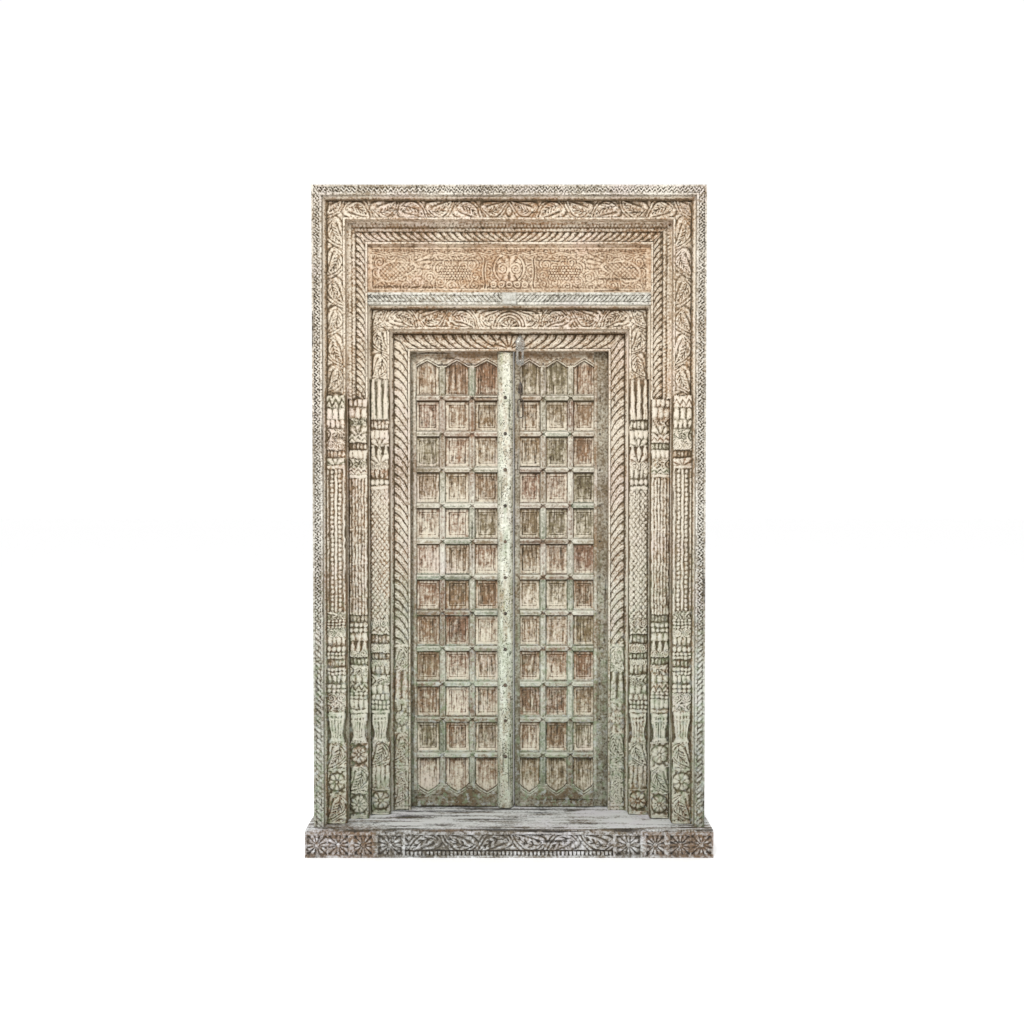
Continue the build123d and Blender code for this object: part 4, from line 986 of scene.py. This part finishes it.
def makeRopeRail(c):
    low, high = boxMm("transom_rope_rail")
    key = boxMm("rail_key_block")[1][0]
    foot, top = low[2] + c["margin"], high[2] - c["margin"]
    tall = high[2] - low[2] - 2 * c["margin"]

    def carve(x, z):
        w = top - z
        share = np.clip(w / tall, 0, 1)
        s = np.abs(x) + 2 * smoothNoise(x / 40 + 20, z / 30, 80)
        f = ((s + 0.95 * tall * share) / c["pitch"]) % 1
        leaf = ridges(f, 0.5) * (0.55 + 0.45 * ridges(2 * f, 1))
        edge = np.clip(np.minimum(share, 1 - share) / 0.08, 0, 1) ** 0.5
        inside = (w > 0) & (w < tall) & (np.abs(x) > key)
        height = np.where(inside, c["height"] * leaf * edge - c["sink"], 0)
        return height + handWork(x + noiseFrom["transom"], z, 81), c["tone"]

    field = np.linspace(foot + c["wall"], top - c["wall"], 15)
    columns = np.concatenate([[low[2], foot - c["wall"]], field, [top + c["wall"], high[2]]])
    levelPiece(
        "carved_rope_rail", "transom_rope_rail", columns, c["step"], carve, ropeRailWood,
    )


makeRopeRail(ropeRail)

# Sill: scroll over a dentil row, rosette blocks at both ends, limed and worn top
sill = {
    "margin": 8, "arris": 9, "sink": 6.5, "wall": 0.5, "rows": 500, "topColumns": 26,
    "scrollHalf": 379, "curl": 126.4, "lineGap": 16.0, "vein": 25.0, "dentil": 14.5, "dentilTall": 17,
    "blocks": ((389, 481, 1), (498, 568, 1), (585, 740, 2)),  # from, to, rosettes
    "frontTone": -0.35, "streaks": 1.9,
}


def sillRosette(a, b, size, tall):
    reach, angle = np.hypot(a, b) / (0.5 * min(size, tall)), np.arctan2(b, a)
    petal = petals(angle, 6, 0.5) * ridges(np.clip(reach / 1.25, 0.04, 0.97), 0.4)
    rim = np.maximum(ramp(np.abs(a), size / 2 - 5, size / 2 - 3), ramp(np.abs(b), tall / 2 - 5, tall / 2 - 3))
    return np.maximum(np.where(reach < 0.2, 1.0, petal), 0.8 * rim)


def sillFront(c, x, w, tall):
    foot = c["dentilTall"] + 2
    carving = scrollField(x + c["scrollHalf"], w - foot, tall - foot, c["curl"], c["lineGap"], 90, c["vein"])
    u, v = ((x / c["dentil"]) % 1 - 0.5) / 0.42, (w - 7) / 9
    dentil = np.clip(1 - u ** 4, 0, None) ** 0.5 * np.clip(1 - v ** 4, 0, None) ** 0.5
    carving = np.where(w < c["dentilTall"] + 1, 0.9 * dentil, carving)
    inside = np.abs(x) < c["scrollHalf"]
    for start, end, flowers in c["blocks"]:
        here = (np.abs(x) > start) & (np.abs(x) < end)
        size = (end - start) / flowers
        a = (np.abs(x) - start) % size - size / 2
        carving = np.where(here, sillRosette(a, w - tall / 2, size, tall), carving)
        inside = inside | here
    return np.where(inside & (w > 0) & (w < tall), c["sink"] * (carving - 1), 0)


def makeSill(c):
    low, high = boxMm("sill")
    brow = high[2] - c["arris"]
    foot, top = c["margin"], brow - c["margin"]
    front = np.concatenate([
        np.linspace(0, foot - c["wall"], 3), np.linspace(foot + c["wall"], top - c["wall"], 33),
        np.linspace(top + c["wall"], brow, 4),
    ])
    x, z = np.broadcast_arrays(np.linspace(low[0], high[0], c["rows"])[:, None], front)
    height = sillFront(c, x, z - foot, top - foot) + 0.8 * handWork(x + noiseFrom["level"], z, 91)
    height = np.clip(height, None, 0) * (np.abs(x) < high[0] - 1)
    topY = np.linspace(low[1] + c["arris"], high[1], c["topColumns"])
    topY = np.concatenate([[low[1] + c["arris"] * 0.35], topY])
    across, depth = np.broadcast_arrays(x[:, :1], topY)
    along = across + noiseFrom["level"]
    worn = 1.2 * smoothNoise(along / 60, depth / 14 + 20, 95)
    worn = worn + 0.8 * smoothNoise(along / 16, depth / 5 + 40, 96)
    level = high[2] - np.clip(1.1 + worn, 0, None) - np.where(depth < low[1] + c["arris"] * 0.5, 3.2, 0)
    under = backRow(x[:, 0], high[1], 0.0)[:, None]
    rings = np.concatenate([backRow(x, low[1] - height, z), backRow(across, depth, level), under], axis=1)
    outer = ramp(np.abs(x), c["blocks"][0][1], c["blocks"][1][0])
    layers = surface(height, len(topY) + 1, c["frontTone"] - 0.1 * outer, -0.7 * outer)
    tread = slice(len(front), -1)
    streaks = c["streaks"] * smoothNoise(along / 130, depth / 9 + 60, 97)
    # dips in the worn tread darken with dirt and painted shade
    layers["hollow"][:, tread] = np.clip(-worn / 2.2, -1, 1) * 0.7
    layers["tone"][:, tread] = 0.15 + 0.6 * ramp(depth, low[1] + 25, low[1] + 70) + streaks
    layers["hue"][:, tread] = 0.9 * smoothNoise(along / 170, depth / 17 + 30, 98)
    loftPiece("carved_sill", rings, "surround", "sill", sillWood, layers)


makeSill(sill)
print("transom and sill made")


# Geometry Nodes: copies of a shape along one or more straight lines

def repeatTree(name):
    tree = bpy.data.node_groups.new(name, "GeometryNodeTree")
    tree.is_modifier = True
    tree.interface.new_socket("Geometry", in_out="OUTPUT", socket_type="NodeSocketGeometry")
    sockets = {}
    for label, kind in (
        ("Shape", "Object"), ("Count", "Int"), ("Start", "Vector"), ("Offset", "Vector"), ("Lines", "Int"),
        ("Line Offset", "Vector"), ("Tilt", "Float"), ("Size Spread", "Float"), ("Tone Spread", "Float"),
        ("Seed", "Int"), ("Material", "Material"),
    ):
        socket = tree.interface.new_socket(label, in_out="INPUT", socket_type="NodeSocket" + kind)
        sockets[label] = socket.identifier
    t = Tree(tree)
    i, out = t.add("NodeGroupInput").outputs, t.add("NodeGroupOutput").inputs
    inputs = {"Count": i["Count"], "Start Location": i["Start"], "Offset": i["Offset"]}
    row = t.add("GeometryNodeMeshLine", inputs)
    lines = t.add("GeometryNodeMeshLine", {"Count": i["Lines"], "Offset": i["Line Offset"]})
    rows = t.add("GeometryNodeInstanceOnPoints", {"Points": lines.outputs[0], "Instance": row.outputs[0]})
    spots = t.add("GeometryNodeRealizeInstances", {"Geometry": rows.outputs[0]})
    shape = t.add("GeometryNodeObjectInfo", {"Object": i["Shape"]})
    lean = t.add("ShaderNodeVectorMath", {0: (0, 1, 0), 3: i["Tilt"]}, operation="SCALE").outputs[0]
    turn = t.add("FunctionNodeRandomValue", {1: lean, "Seed": i["Seed"]}, data_type="FLOAT_VECTOR").outputs[0]
    smallest = t.maths("SUBTRACT", 1.0, i["Size Spread"])
    sizes = {2: smallest, 3: 1.0, "Seed": i["Seed"]}
    size = t.add("FunctionNodeRandomValue", sizes, data_type="FLOAT").outputs[1]
    copies = t.add("GeometryNodeInstanceOnPoints", {
        "Points": spots.outputs[0], "Instance": shape.outputs["Geometry"], "Rotation": turn, "Scale": size,
    })
    darkest = t.maths("MULTIPLY", i["Tone Spread"], -1.0)
    shade = {2: darkest, 3: i["Tone Spread"], "Seed": i["Seed"]}
    shade = t.add("FunctionNodeRandomValue", shade, data_type="FLOAT").outputs[1]
    toned = {"Geometry": copies.outputs[0], "Name": "drift", "Value": shade}
    toned = t.add("GeometryNodeStoreNamedAttribute", toned, data_type="FLOAT", domain="INSTANCE")
    solid = t.add("GeometryNodeRealizeInstances", {"Geometry": toned.outputs[0]})
    painted = t.add("GeometryNodeSetMaterial", {"Geometry": solid.outputs[0], "Material": i["Material"]})
    t.link(painted.outputs[0], out[0])
    return tree, sockets


repeatGroup, repeatSockets = repeatTree("repeatAlongLines")


def shapeObject(name, rings, layers):
    return newObject(name, loftMesh(name, rings, layers))


def repeated(name, values, body, nodes):
    # places and offsets come in millimetres
    carrier = newObject(name + "_carrier", bpy.data.meshes.new(name + "_carrier"))
    modifier = carrier.modifiers.new("repeat", "NODES")
    modifier.node_group = repeatGroup
    for label, value in {"Lines": 1, **values}.items():
        lengths = isinstance(value, tuple)
        modifier[repeatSockets[label]] = tuple(v * mm for v in value) if lengths else value
    mesh = evaluatedMesh(carrier)
    bpy.data.objects.remove(values["Shape"])
    return finishPiece(name, mesh, body, nodes)


# Door leaves: rails and muntins repeat, boards are one piece each
lattice = {
    "firstRail": 307.5, "railPitch": 138.9, "rails": 11, "railBase": 34, "railTop": 15, "rowStep": 4.0,
    "muntinBase": 33, "muntinTop": 15, "muntinDrop": 3, "muntinRows": 26, "seat": 0.5,
    "plaqueHalf": 9.5, "plaqueRise": 4, "topArch": (24, 0.85), "footArch": (-31, 0.68),
    "boardColumns": 32, "combPitch": 9.3,
}


def leafPlaces(side):
    railLow, railHigh = boxMm(f"{side}_cross_rails")
    boards = [boxMm(f"{side}_board_{k}") for k in (1, 2, 3)]
    muntinX = [(boards[k][1][0] + boards[k + 1][0][0]) / 2 for k in (0, 1)]
    half = lattice["muntinBase"] / 2
    edges = [railLow[0]] + [x + end for x in muntinX for end in (-half, half)] + [railHigh[0]]
    return {
        "lowX": railLow[0], "highX": railHigh[0], "muntinX": muntinX, "boardY": boards[0][0][1],
        "frontY": railLow[1] + lattice["plaqueRise"], "cells": list(zip(edges[::2], edges[1::2])),
    }


def barColumns(base, slope, flat, sideCount, flatCount):
    sides = np.linspace(slope, base / 2, sideCount)
    return np.concatenate([-sides[::-1], np.linspace(-flat, flat, flatCount), sides])


def bevelled(w, base, top, deep):
    # trapezium section with a small step half way up its slope
    slope = np.clip((base / 2 - np.abs(w)) / ((base - top) / 2), 0, 1)
    return deep * np.clip(slope * 1.15 - 0.25 * bump(slope, 0.55, 0.3), 0, 1)


def shadeStretches(obj, breaks, shift, c, spread, seed):
    # tone and wood change from one crossing to the next
    mesh = obj.data
    place = np.empty(3 * len(mesh.vertices), np.float32)
    mesh.vertices.foreach_get("co", place)
    across = np.searchsorted(breaks, place[0::3] / mm)
    along = np.round((place[2::3] / mm - c["firstRail"]) / c["railPitch"] + shift).astype(int) + 2
    pick = np.random.default_rng(seed)
    for key, reach in (("tone", spread), ("hue", 0.8)):
        layer = mesh.attributes[key].data
        values = np.empty(len(mesh.vertices), np.float32)
        layer.foreach_get("value", values)
        table = pick.uniform(-reach, reach, (3, c["rails"] + 6))
        layer.foreach_set("value", (values + table[across, along]).astype(np.float32))


def makeRails(side, p, c):
    deep = p["boardY"] - p["frontY"]
    x = np.linspace(p["lowX"], p["highX"], round((p["highX"] - p["lowX"]) / c["rowStep"]))[:, None]
    half = c["plaqueHalf"]
    x, w = np.broadcast_arrays(x, barColumns(c["railBase"], half + 1, half, 4, 13))
    reach = np.full(x.shape, -99.0)  # how far inside a plaque
    for left, right in p["cells"]:
        ends = (right - left) / 2 + 13 - np.abs(x - (left + right) / 2) - np.abs(w)
        reach = np.maximum(reach, np.minimum(half - np.abs(w), ends))
    height = bevelled(w, c["railBase"], c["railTop"], deep)
    height = height + (c["plaqueRise"] + 1) * ramp(reach, 0, 2.6) - 2.6 * bump(reach, -1.2, 1.6)
    height = height - 1.8 * bump(np.abs(w), 5.0, 1.8) * ramp(reach, 2, 4)  # a fine line along each side
    height = np.clip(height, 0, deep + c["plaqueRise"])
    back = [backRow(x[:, 0], p["boardY"] + c["seat"], end * c["railBase"] / 2) for end in (1, -1)]
    rings = frontLoop(x, p["boardY"] - height, w, back)
    # tone: a painted highlight grows towards the rail's upper side, and painted shade darkens its lower slope
    layers = surface(height, len(back), 0.045 * w - 0.5 * ramp(-w, 5, 11), spread=(3, 2))
    rails = repeated(side + "_lattice_rails", {
        "Shape": shapeObject(side + "_rail_bar", rings, layers), "Count": c["rails"],
        "Start": (0, 0, c["firstRail"]), "Offset": (0, 0, c["railPitch"]),
        "Tone Spread": 0.1, "Seed": 3, "Material": latticeLevel,
    }, side + "_leaf", [side + "_cross_rails"])
    shadeStretches(rails, p["muntinX"], 0, c, 0.4, 7 if side == "left" else 8)


def makeMuntins(side, p, c):
    deep = p["boardY"] - p["frontY"] - c["muntinDrop"]
    tall = c["railPitch"]
    w = barColumns(c["muntinBase"], 8, 6.8, 6, 9)
    z, w = np.broadcast_arrays(np.linspace(0, tall, c["muntinRows"])[:, None], w)
    ends = tall / 2 - 14 - np.abs(z - tall / 2)
    panel = np.minimum(7.5 - np.abs(w), ends - np.abs(w))
    height = bevelled(w, c["muntinBase"], c["muntinTop"], deep)
    height = height + 2.2 * ramp(panel, 0, 2) - 1.8 * bump(np.abs(w), 4.6, 1.5) * ramp(ends, 8, 14)
    height = np.clip(height + 0.5 * smoothNoise(z / 9, w / 4 + 9, 15), 0, deep + 2.4)
    back = [backRow(end * c["muntinBase"] / 2, p["boardY"] + c["seat"], z[:, 0]) for end in (1, -1)]
    rings = frontLoop(w, p["boardY"] - height, z, back)
    layers = surface(height, len(back), 0.05, spread=(3, 2))
    first, second = p["muntinX"]
    muntins = repeated(side + "_lattice_muntins", {
        "Shape": shapeObject(side + "_muntin_bar", rings, layers), "Count": c["rails"] + 1,
        "Start": (first, 0, c["firstRail"] - tall), "Offset": (0, 0, tall), "Lines": 2,
        "Line Offset": (second - first, 0, 0), "Tone Spread": 0.1, "Seed": 5, "Material": latticeUpright,
    }, side + "_leaf", [side + "_muntins"])
    shadeStretches(muntins, [(first + second) / 2], 0.5, c, 0.35, 11 if side == "left" else 12)


def makeArchedRail(side, end, p, c):
    name = f"{side}_{end}_rail"
    low, high = boxMm(name)
    edge, spring = (high[2], low[2]) if end == "top" else (low[2], high[2])
    rise, point = c["topArch"] if end == "top" else c["footArch"]
    kinks = [v for left, right in p["cells"] for v in (left, (left + right) / 2, right)]
    x = np.unique(np.concatenate([np.linspace(p["lowX"], p["highX"], 130), kinks]))
    arch = np.full(len(x), spring)
    for left, right in p["cells"]:
        share = 1 - np.abs(x - (left + right) / 2) / ((right - left) / 2)
        arch = np.where(share > 0, spring + rise * np.clip(share, 0, 1) ** point, arch)
    t = np.concatenate([np.linspace(0, 0.42, 16), np.linspace(0.48, 1, 10)])
    z = arch[:, None] + t * (edge - arch[:, None])
    across = np.broadcast_to(x[:, None], z.shape)
    d = np.abs(z - arch[:, None])
    deep = p["boardY"] - p["frontY"]
    height = deep * (0.5 + 0.5 * ramp(d, 0, 5)) - 3.2 * bump(d, 9.5, 2.6) + 1.2 * bump(d, 14, 3)
    height = np.clip(height + handWork(across + noiseFrom["arch"], z, 17), 0, deep + 1.5)
    back = [backRow(x, p["boardY"] + c["seat"], level) for level in (edge, arch)]
    rings = frontLoop(across, p["boardY"] - height, z, back)
    tone = (-0.1 if end == "top" else 0.35) * ramp(d, 20, 12) - 0.3 * ramp(d, 16, 26)
    layers = surface(height, len(back), tone, spread=(2, 3))
    loftPiece("carved_" + name, rings, side + "_leaf", name, latticeLevel, layers)


def boardLevels(c, low, high):
    # rows lie closer beside each rail
    beside = np.concatenate([[0], c["railBase"] / 2 + np.array([0, 5.5, 6.8, 8.2, 9.6, 11, 12.5, 14, 16])])
    between = np.linspace(beside[-1], c["railPitch"] - beside[-1], 11)[1:-1]
    cell = np.concatenate([beside, between, c["railPitch"] - beside[:0:-1]])
    levels = [c["firstRail"] + (n - 2) * c["railPitch"] + cell for n in range(c["rails"] + 4)]
    levels = np.concatenate(levels)
    return np.concatenate([[low], levels[(levels > low + 1) & (levels < high - 1)], [high]])


def makeBoard(side, k, p, c):
    name = f"{side}_board_{k}"
    low, high = boxMm(name)
    left, right = p["cells"][k - 1]
    levels = boardLevels(c, low[2], high[2])
    z, x = np.broadcast_arrays(levels[:, None], np.linspace(low[0], high[0], c["boardColumns"]))
    cell = np.clip(np.floor((z - c["firstRail"]) / c["railPitch"]).astype(int) + 1, 0, c["rails"])
    local = (z - c["firstRail"]) % c["railPitch"]
    nearX = np.minimum(x - left, right - x)
    nearZ = np.minimum(local, c["railPitch"] - local) - c["railBase"] / 2
    d = np.minimum(nearX, np.where((cell == 0) | (cell == c["rails"]), nearX, nearZ))
    seed = 20 + 3 * k + (9 if side == "left" else 0)
    comb = x / c["combPitch"] + 0.25 * smoothNoise(z / 120, x / 30 + 20, seed)
    streak = smoothNoise(z / 34, x / 3.4 + 200, seed + 1)
    height = 3.0 * ramp(d, 9, 6.5) + 1.4 * bump(d, 12.5, 2.2)
    height = height + 0.2 * np.sin(2 * np.pi * comb) * ramp(d, 12, 16)
    height = height + 0.8 * streak + 0.6 * smoothNoise(z / 13, x / 4.2 + 300, seed + 2)
    spread = np.random.default_rng(seed)
    shades, hues = spread.uniform(-0.5, 0.4, c["rails"] + 1), spread.uniform(-0.7, 0.7, c["rails"] + 1)
    shades[0], hues[0] = (0.4, -0.2) if side == "left" else (0.0, 0.4)
    # painted shadow darkens the top of each cell under the rail above; the foot of each cell is paler
    tone = shades[cell] + 0.6 * ramp(local, 60, 20) - 0.35 * ramp(local, 90, 118) + 0.3 * streak
    back = [backRow(edge, high[1], z[:, 0]) for edge in (high[0], low[0])]
    rings = frontLoop(x, low[1] - np.clip(height, -1.2, 5), z, back)
    layers = surface(2.0 * height, len(back), tone, hues[cell], (3, 2))
    loftPiece("weathered_" + name, rings, side + "_leaf", name, boardWood, layers)


# Beads beside the outer panels, on the face of each hinge stile
edgeBead = {"half": 6.5, "rise": 4.0, "inset": 8.0, "rows": 12, "columns": 8}


def makeEdgeBead(side, c):
    low, high = boxMm(side + "_hinge_stile")
    face = boxMm(side + "_meeting_stile")[0][1]
    middle = low[0] + c["inset"] if side == "right" else high[0] - c["inset"]
    tall = lattice["railPitch"]
    w = np.linspace(-c["half"], c["half"], c["columns"])
    z, w = np.broadcast_arrays(np.linspace(0, tall, c["rows"])[:, None], w)
    uneven = 0.85 + 0.15 * smoothNoise(z / 12 + 3, w / 5 + 9, 19)
    height = c["rise"] * np.sqrt(bump(w, 0, 1.08 * c["half"])) * uneven
    back = [backRow(end * c["half"], face + lattice["seat"], z[:, 0]) for end in (1, -1)]
    rings = frontLoop(w, face - height, z, back)
    layers = surface(height, len(back), 0.15, spread=(3, 2))
    repeated(side + "_edge_bead", {
        "Shape": shapeObject(side + "_edge_bar", rings, layers), "Count": lattice["rails"] + 1,
        "Start": (middle, 0, lattice["firstRail"] - tall), "Offset": (0, 0, tall),
        "Tone Spread": 0.3, "Seed": 6, "Material": latticeUpright,
    }, side + "_leaf", [])


for side in ("left", "right"):
    leaf = leafPlaces(side)
    makeRails(side, leaf, lattice)
    makeEdgeBead(side, edgeBead)
    makeMuntins(side, leaf, lattice)
    for end in ("top", "bottom"):
        makeArchedRail(side, end, leaf, lattice)
    for k in (1, 2, 3):
        makeBoard(side, k, leaf, lattice)
print("leaf lattices made")

# Astragal: worn batten with uneven edges and pock marks
astragal = {"rows": 640, "columns": 22, "pock": 5.0, "pockDepth": 7, "thinnest": 4}


def makeAstragal(c):
    low, high = boxMm("astragal")
    z = np.linspace(low[2], high[2], c["rows"])[:, None]
    z, a = np.broadcast_arrays(z, np.linspace(-1, 1, c["columns"]))
    half, middle = (high[0] - low[0]) / 2, (high[0] + low[0]) / 2
    edge = 1 - 0.06 * (1 + smoothNoise(z / 42, np.sign(a) * 3 + 5, 61)) * np.abs(a) ** 2
    x = middle + half * a * edge
    deep = high[1] - low[1]
    pocks = smoothNoise(z / c["pock"], (x + 90) / c["pock"], 62) - 0.58 + 0.15 * np.abs(a)
    pocks = np.clip(pocks, 0, None)
    height = deep * (1 - 0.6 * np.abs(a) ** 3.4) - 1.0 - c["pockDepth"] * pocks
    height = np.clip(height + 0.5 * smoothNoise(z / 30, a * 9 + 20, 64), c["thinnest"], deep)
    back = [backRow(at, high[1], z[:, 0]) for at in (high[0], low[0])]
    rings = frontLoop(x, high[1] - height, z, back)
    tone, hue = 0.4 * smoothNoise(z / 55, a * 2 + 8, 65), smoothNoise(z / 90, a * 2 + 8, 66)
    # the pock marks go into the hollow layer and darken with dirt and painted shade
    layers = surface(-9 * pocks, len(back), tone, hue, (4, 3))
    loftPiece("worn_astragal", rings, "left_leaf", "astragal", astragalWood, layers)


makeAstragal(astragal)

# Plain timber and ironwork: the solids with their edges worn round
wear = {"weld": 0.00002, "flat": 2, "corner": 25, "segments": 2, "crease": 40}


def softened(node, body, material, width, c=wear):
    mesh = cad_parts[node].data.copy()
    mesh.materials.clear()
    mesh.materials.append(material)
    obj = newObject("worn_" + node, mesh)
    weld = obj.modifiers.new("weld", "WELD")
    weld.merge_threshold = c["weld"]
    planar = obj.modifiers.new("planar", "DECIMATE")
    planar.decimate_type, planar.angle_limit = "DISSOLVE", math.radians(c["flat"])
    worn = obj.modifiers.new("round", "BEVEL")
    worn.width, worn.segments = width * mm, c["segments"]
    worn.limit_method, worn.angle_limit = "ANGLE", math.radians(c["corner"])
    worn.use_clamp_overlap = True
    finishPiece("worn_" + node, evaluatedMesh(obj), body, [node], c["crease"])


for side in ("left", "right"):
    for part in ("hinge_stile", "meeting_stile"):
        softened(f"{side}_{part}", side + "_leaf", plainUpright, 1.0)
    softened(side + "_ledges", side + "_leaf", plainWood, 3)
softened("pivot_beam", "surround", plainWood, 3)
softened("rail_key_block", "surround", keyWood, 1.5)
for ironNode, ironBody, iron in (
    ("hasp_plate", "surround", limedIron), ("hasp_pin", "surround", limedIron), ("hasp", "hasp", limedIron),
    ("chain_staple", "right_leaf", forgedIron), ("chain_link", "chain_link", forgedIron),
    ("chain_ring", "chain_ring", forgedIron),
):
    softened(ironNode, ironBody, iron, 0.8)
print("plain timber and ironwork made")

# Rose-head nails: on the astragal, beside the arches, and at each rail's end on the right hinge stile
nails = {
    "tilt": 3.0, "spandrelUp": 14, "stileIn": 24.0,
    "astragal": {"radius": 7.5, "rise": 5.6, "facets": 9, "spread": 0.15},
    "spandrel": {"radius": 4.0, "rise": 3.0, "facets": 7, "spread": 0.2},
    "stile": {"radius": 5.0, "rise": 3.5, "facets": 7, "spread": 0.2},
}


def nailShape(radius, rise, facets):
    a = np.linspace(0, 2 * np.pi, facets, endpoint=False)
    rings = []
    for share, level in ((1.0, -1.0), (1.0, 0.25), (0.72, 0.72), (0.32, 1.0)):
        rings.append(backRow(radius * share * np.cos(a), -rise * level, radius * share * np.sin(a)))
    return shapeObject("nail", np.array(rings), {})


def nailRow(name, kind, count, start, offset, seed, body, nodes):
    c = nails[kind]
    repeated(name, {
        "Shape": nailShape(c["radius"], c["rise"], c["facets"]), "Count": count,
        "Start": start, "Offset": offset,
        "Tilt": nails["tilt"], "Size Spread": c["spread"], "Seed": seed, "Material": forgedIron,
    }, body, nodes)


def makeNails(c):
    low, high = boxMm("astragal_nails")
    foot, top = low[2] + c["astragal"]["radius"], high[2] - c["astragal"]["radius"]
    rise = (0, 0, (top - foot) / (lattice["rails"] - 1))
    start = ((low[0] + high[0]) / 2, high[1], foot)
    nailRow("rose_head_nails", "astragal", lattice["rails"], start, rise, 4, "left_leaf", ["astragal_nails"])
    for side in ("left", "right"):
        p = leafPlaces(side)
        start = (p["muntinX"][0], p["frontY"], boxMm(side + "_top_rail")[0][2] + c["spandrelUp"])
        across = (p["muntinX"][1] - p["muntinX"][0], 0, 0)
        nailRow(side + "_spandrel_nails", "spandrel", 2, start, across, 9, side + "_leaf", [])
    face = boxMm("right_meeting_stile")[0][1]
    start = (boxMm("right_hinge_stile")[0][0] + c["stileIn"], face, lattice["firstRail"])
    rise = (0, 0, lattice["railPitch"])
    nailRow("stile_nails", "stile", lattice["rails"], start, rise, 12, "right_leaf", [])


makeNails(nails)
print("nails made")

# Floor and light: white behind, a soft key from above the camera
stage = {
    "floor": 40.0, "floorTone": 0.94, "floorGlow": 0.22, "ahead": 0.36, "behind": 1.02, "turn": (-0.75, 0.15),
}
keyLight = {"place": (-0.9, -5.4, 5.0), "aim": (0, 0, 1.2), "size": 2.0, "power": 300}


def makeStage(c):
    mesh = bpy.data.meshes.new("floor")
    h = c["floor"]
    mesh.from_pydata([(-h, -h, 0), (h, -h, 0), (h, h, 0), (-h, h, 0)], [], [(0, 1, 2, 3)])
    paint, _, shader = newMaterial("paleFloor")
    shader["Base Color"].default_value = (c["floorTone"],) * 3 + (1,)
    shader["Roughness"].default_value = 0.9
    shader["Emission Color"].default_value = (1, 1, 1, 1)
    shader["Emission Strength"].default_value = c["floorGlow"]
    mesh.materials.append(paint)
    floor = newObject("floor", mesh)


def makeSky(c):
    world = bpy.data.worlds.new("studio")
    world.use_nodes = True
    t = Tree(world.node_tree)
    sky = world.node_tree.nodes["Background"].inputs
    sky["Color"].default_value = (1, 1, 1, 1)
    toward = t.add("ShaderNodeTexCoord").outputs["Generated"]
    glow = t.band(t.add("ShaderNodeSeparateXYZ", {0: toward}).outputs["Y"], *c["turn"])
    t.link(t.maths("MULTIPLY_ADD", glow, c["behind"] - c["ahead"], c["ahead"]), sky["Strength"])
    bpy.context.scene.world = world
    bpy.context.scene.view_settings.view_transform = "Standard"


def makeLight(c):
    data = bpy.data.lights.new("key", "AREA")
    data.size, data.energy = c["size"], c["power"]
    obj = newObject("key", data)
    obj.location = c["place"]
    away = np.array(c["place"]) - np.array(c["aim"])
    obj.rotation_euler = (math.atan2(math.hypot(away[0], away[1]), away[2]), 0, math.atan2(away[0], -away[1]))


makeStage(stage)
makeSky(stage)
makeLight(keyLight)
print("stage made")

others = {"floor", *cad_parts}
pieces = [o for o in bpy.data.objects if o.type == "MESH" and o.name not in others]
counts = {o.name: len(o.data.loops) - 2 * len(o.data.polygons) for o in pieces}
print("triangles:", sum(counts.values()), "in", len(counts), "pieces, most in one:", max(counts.values()))
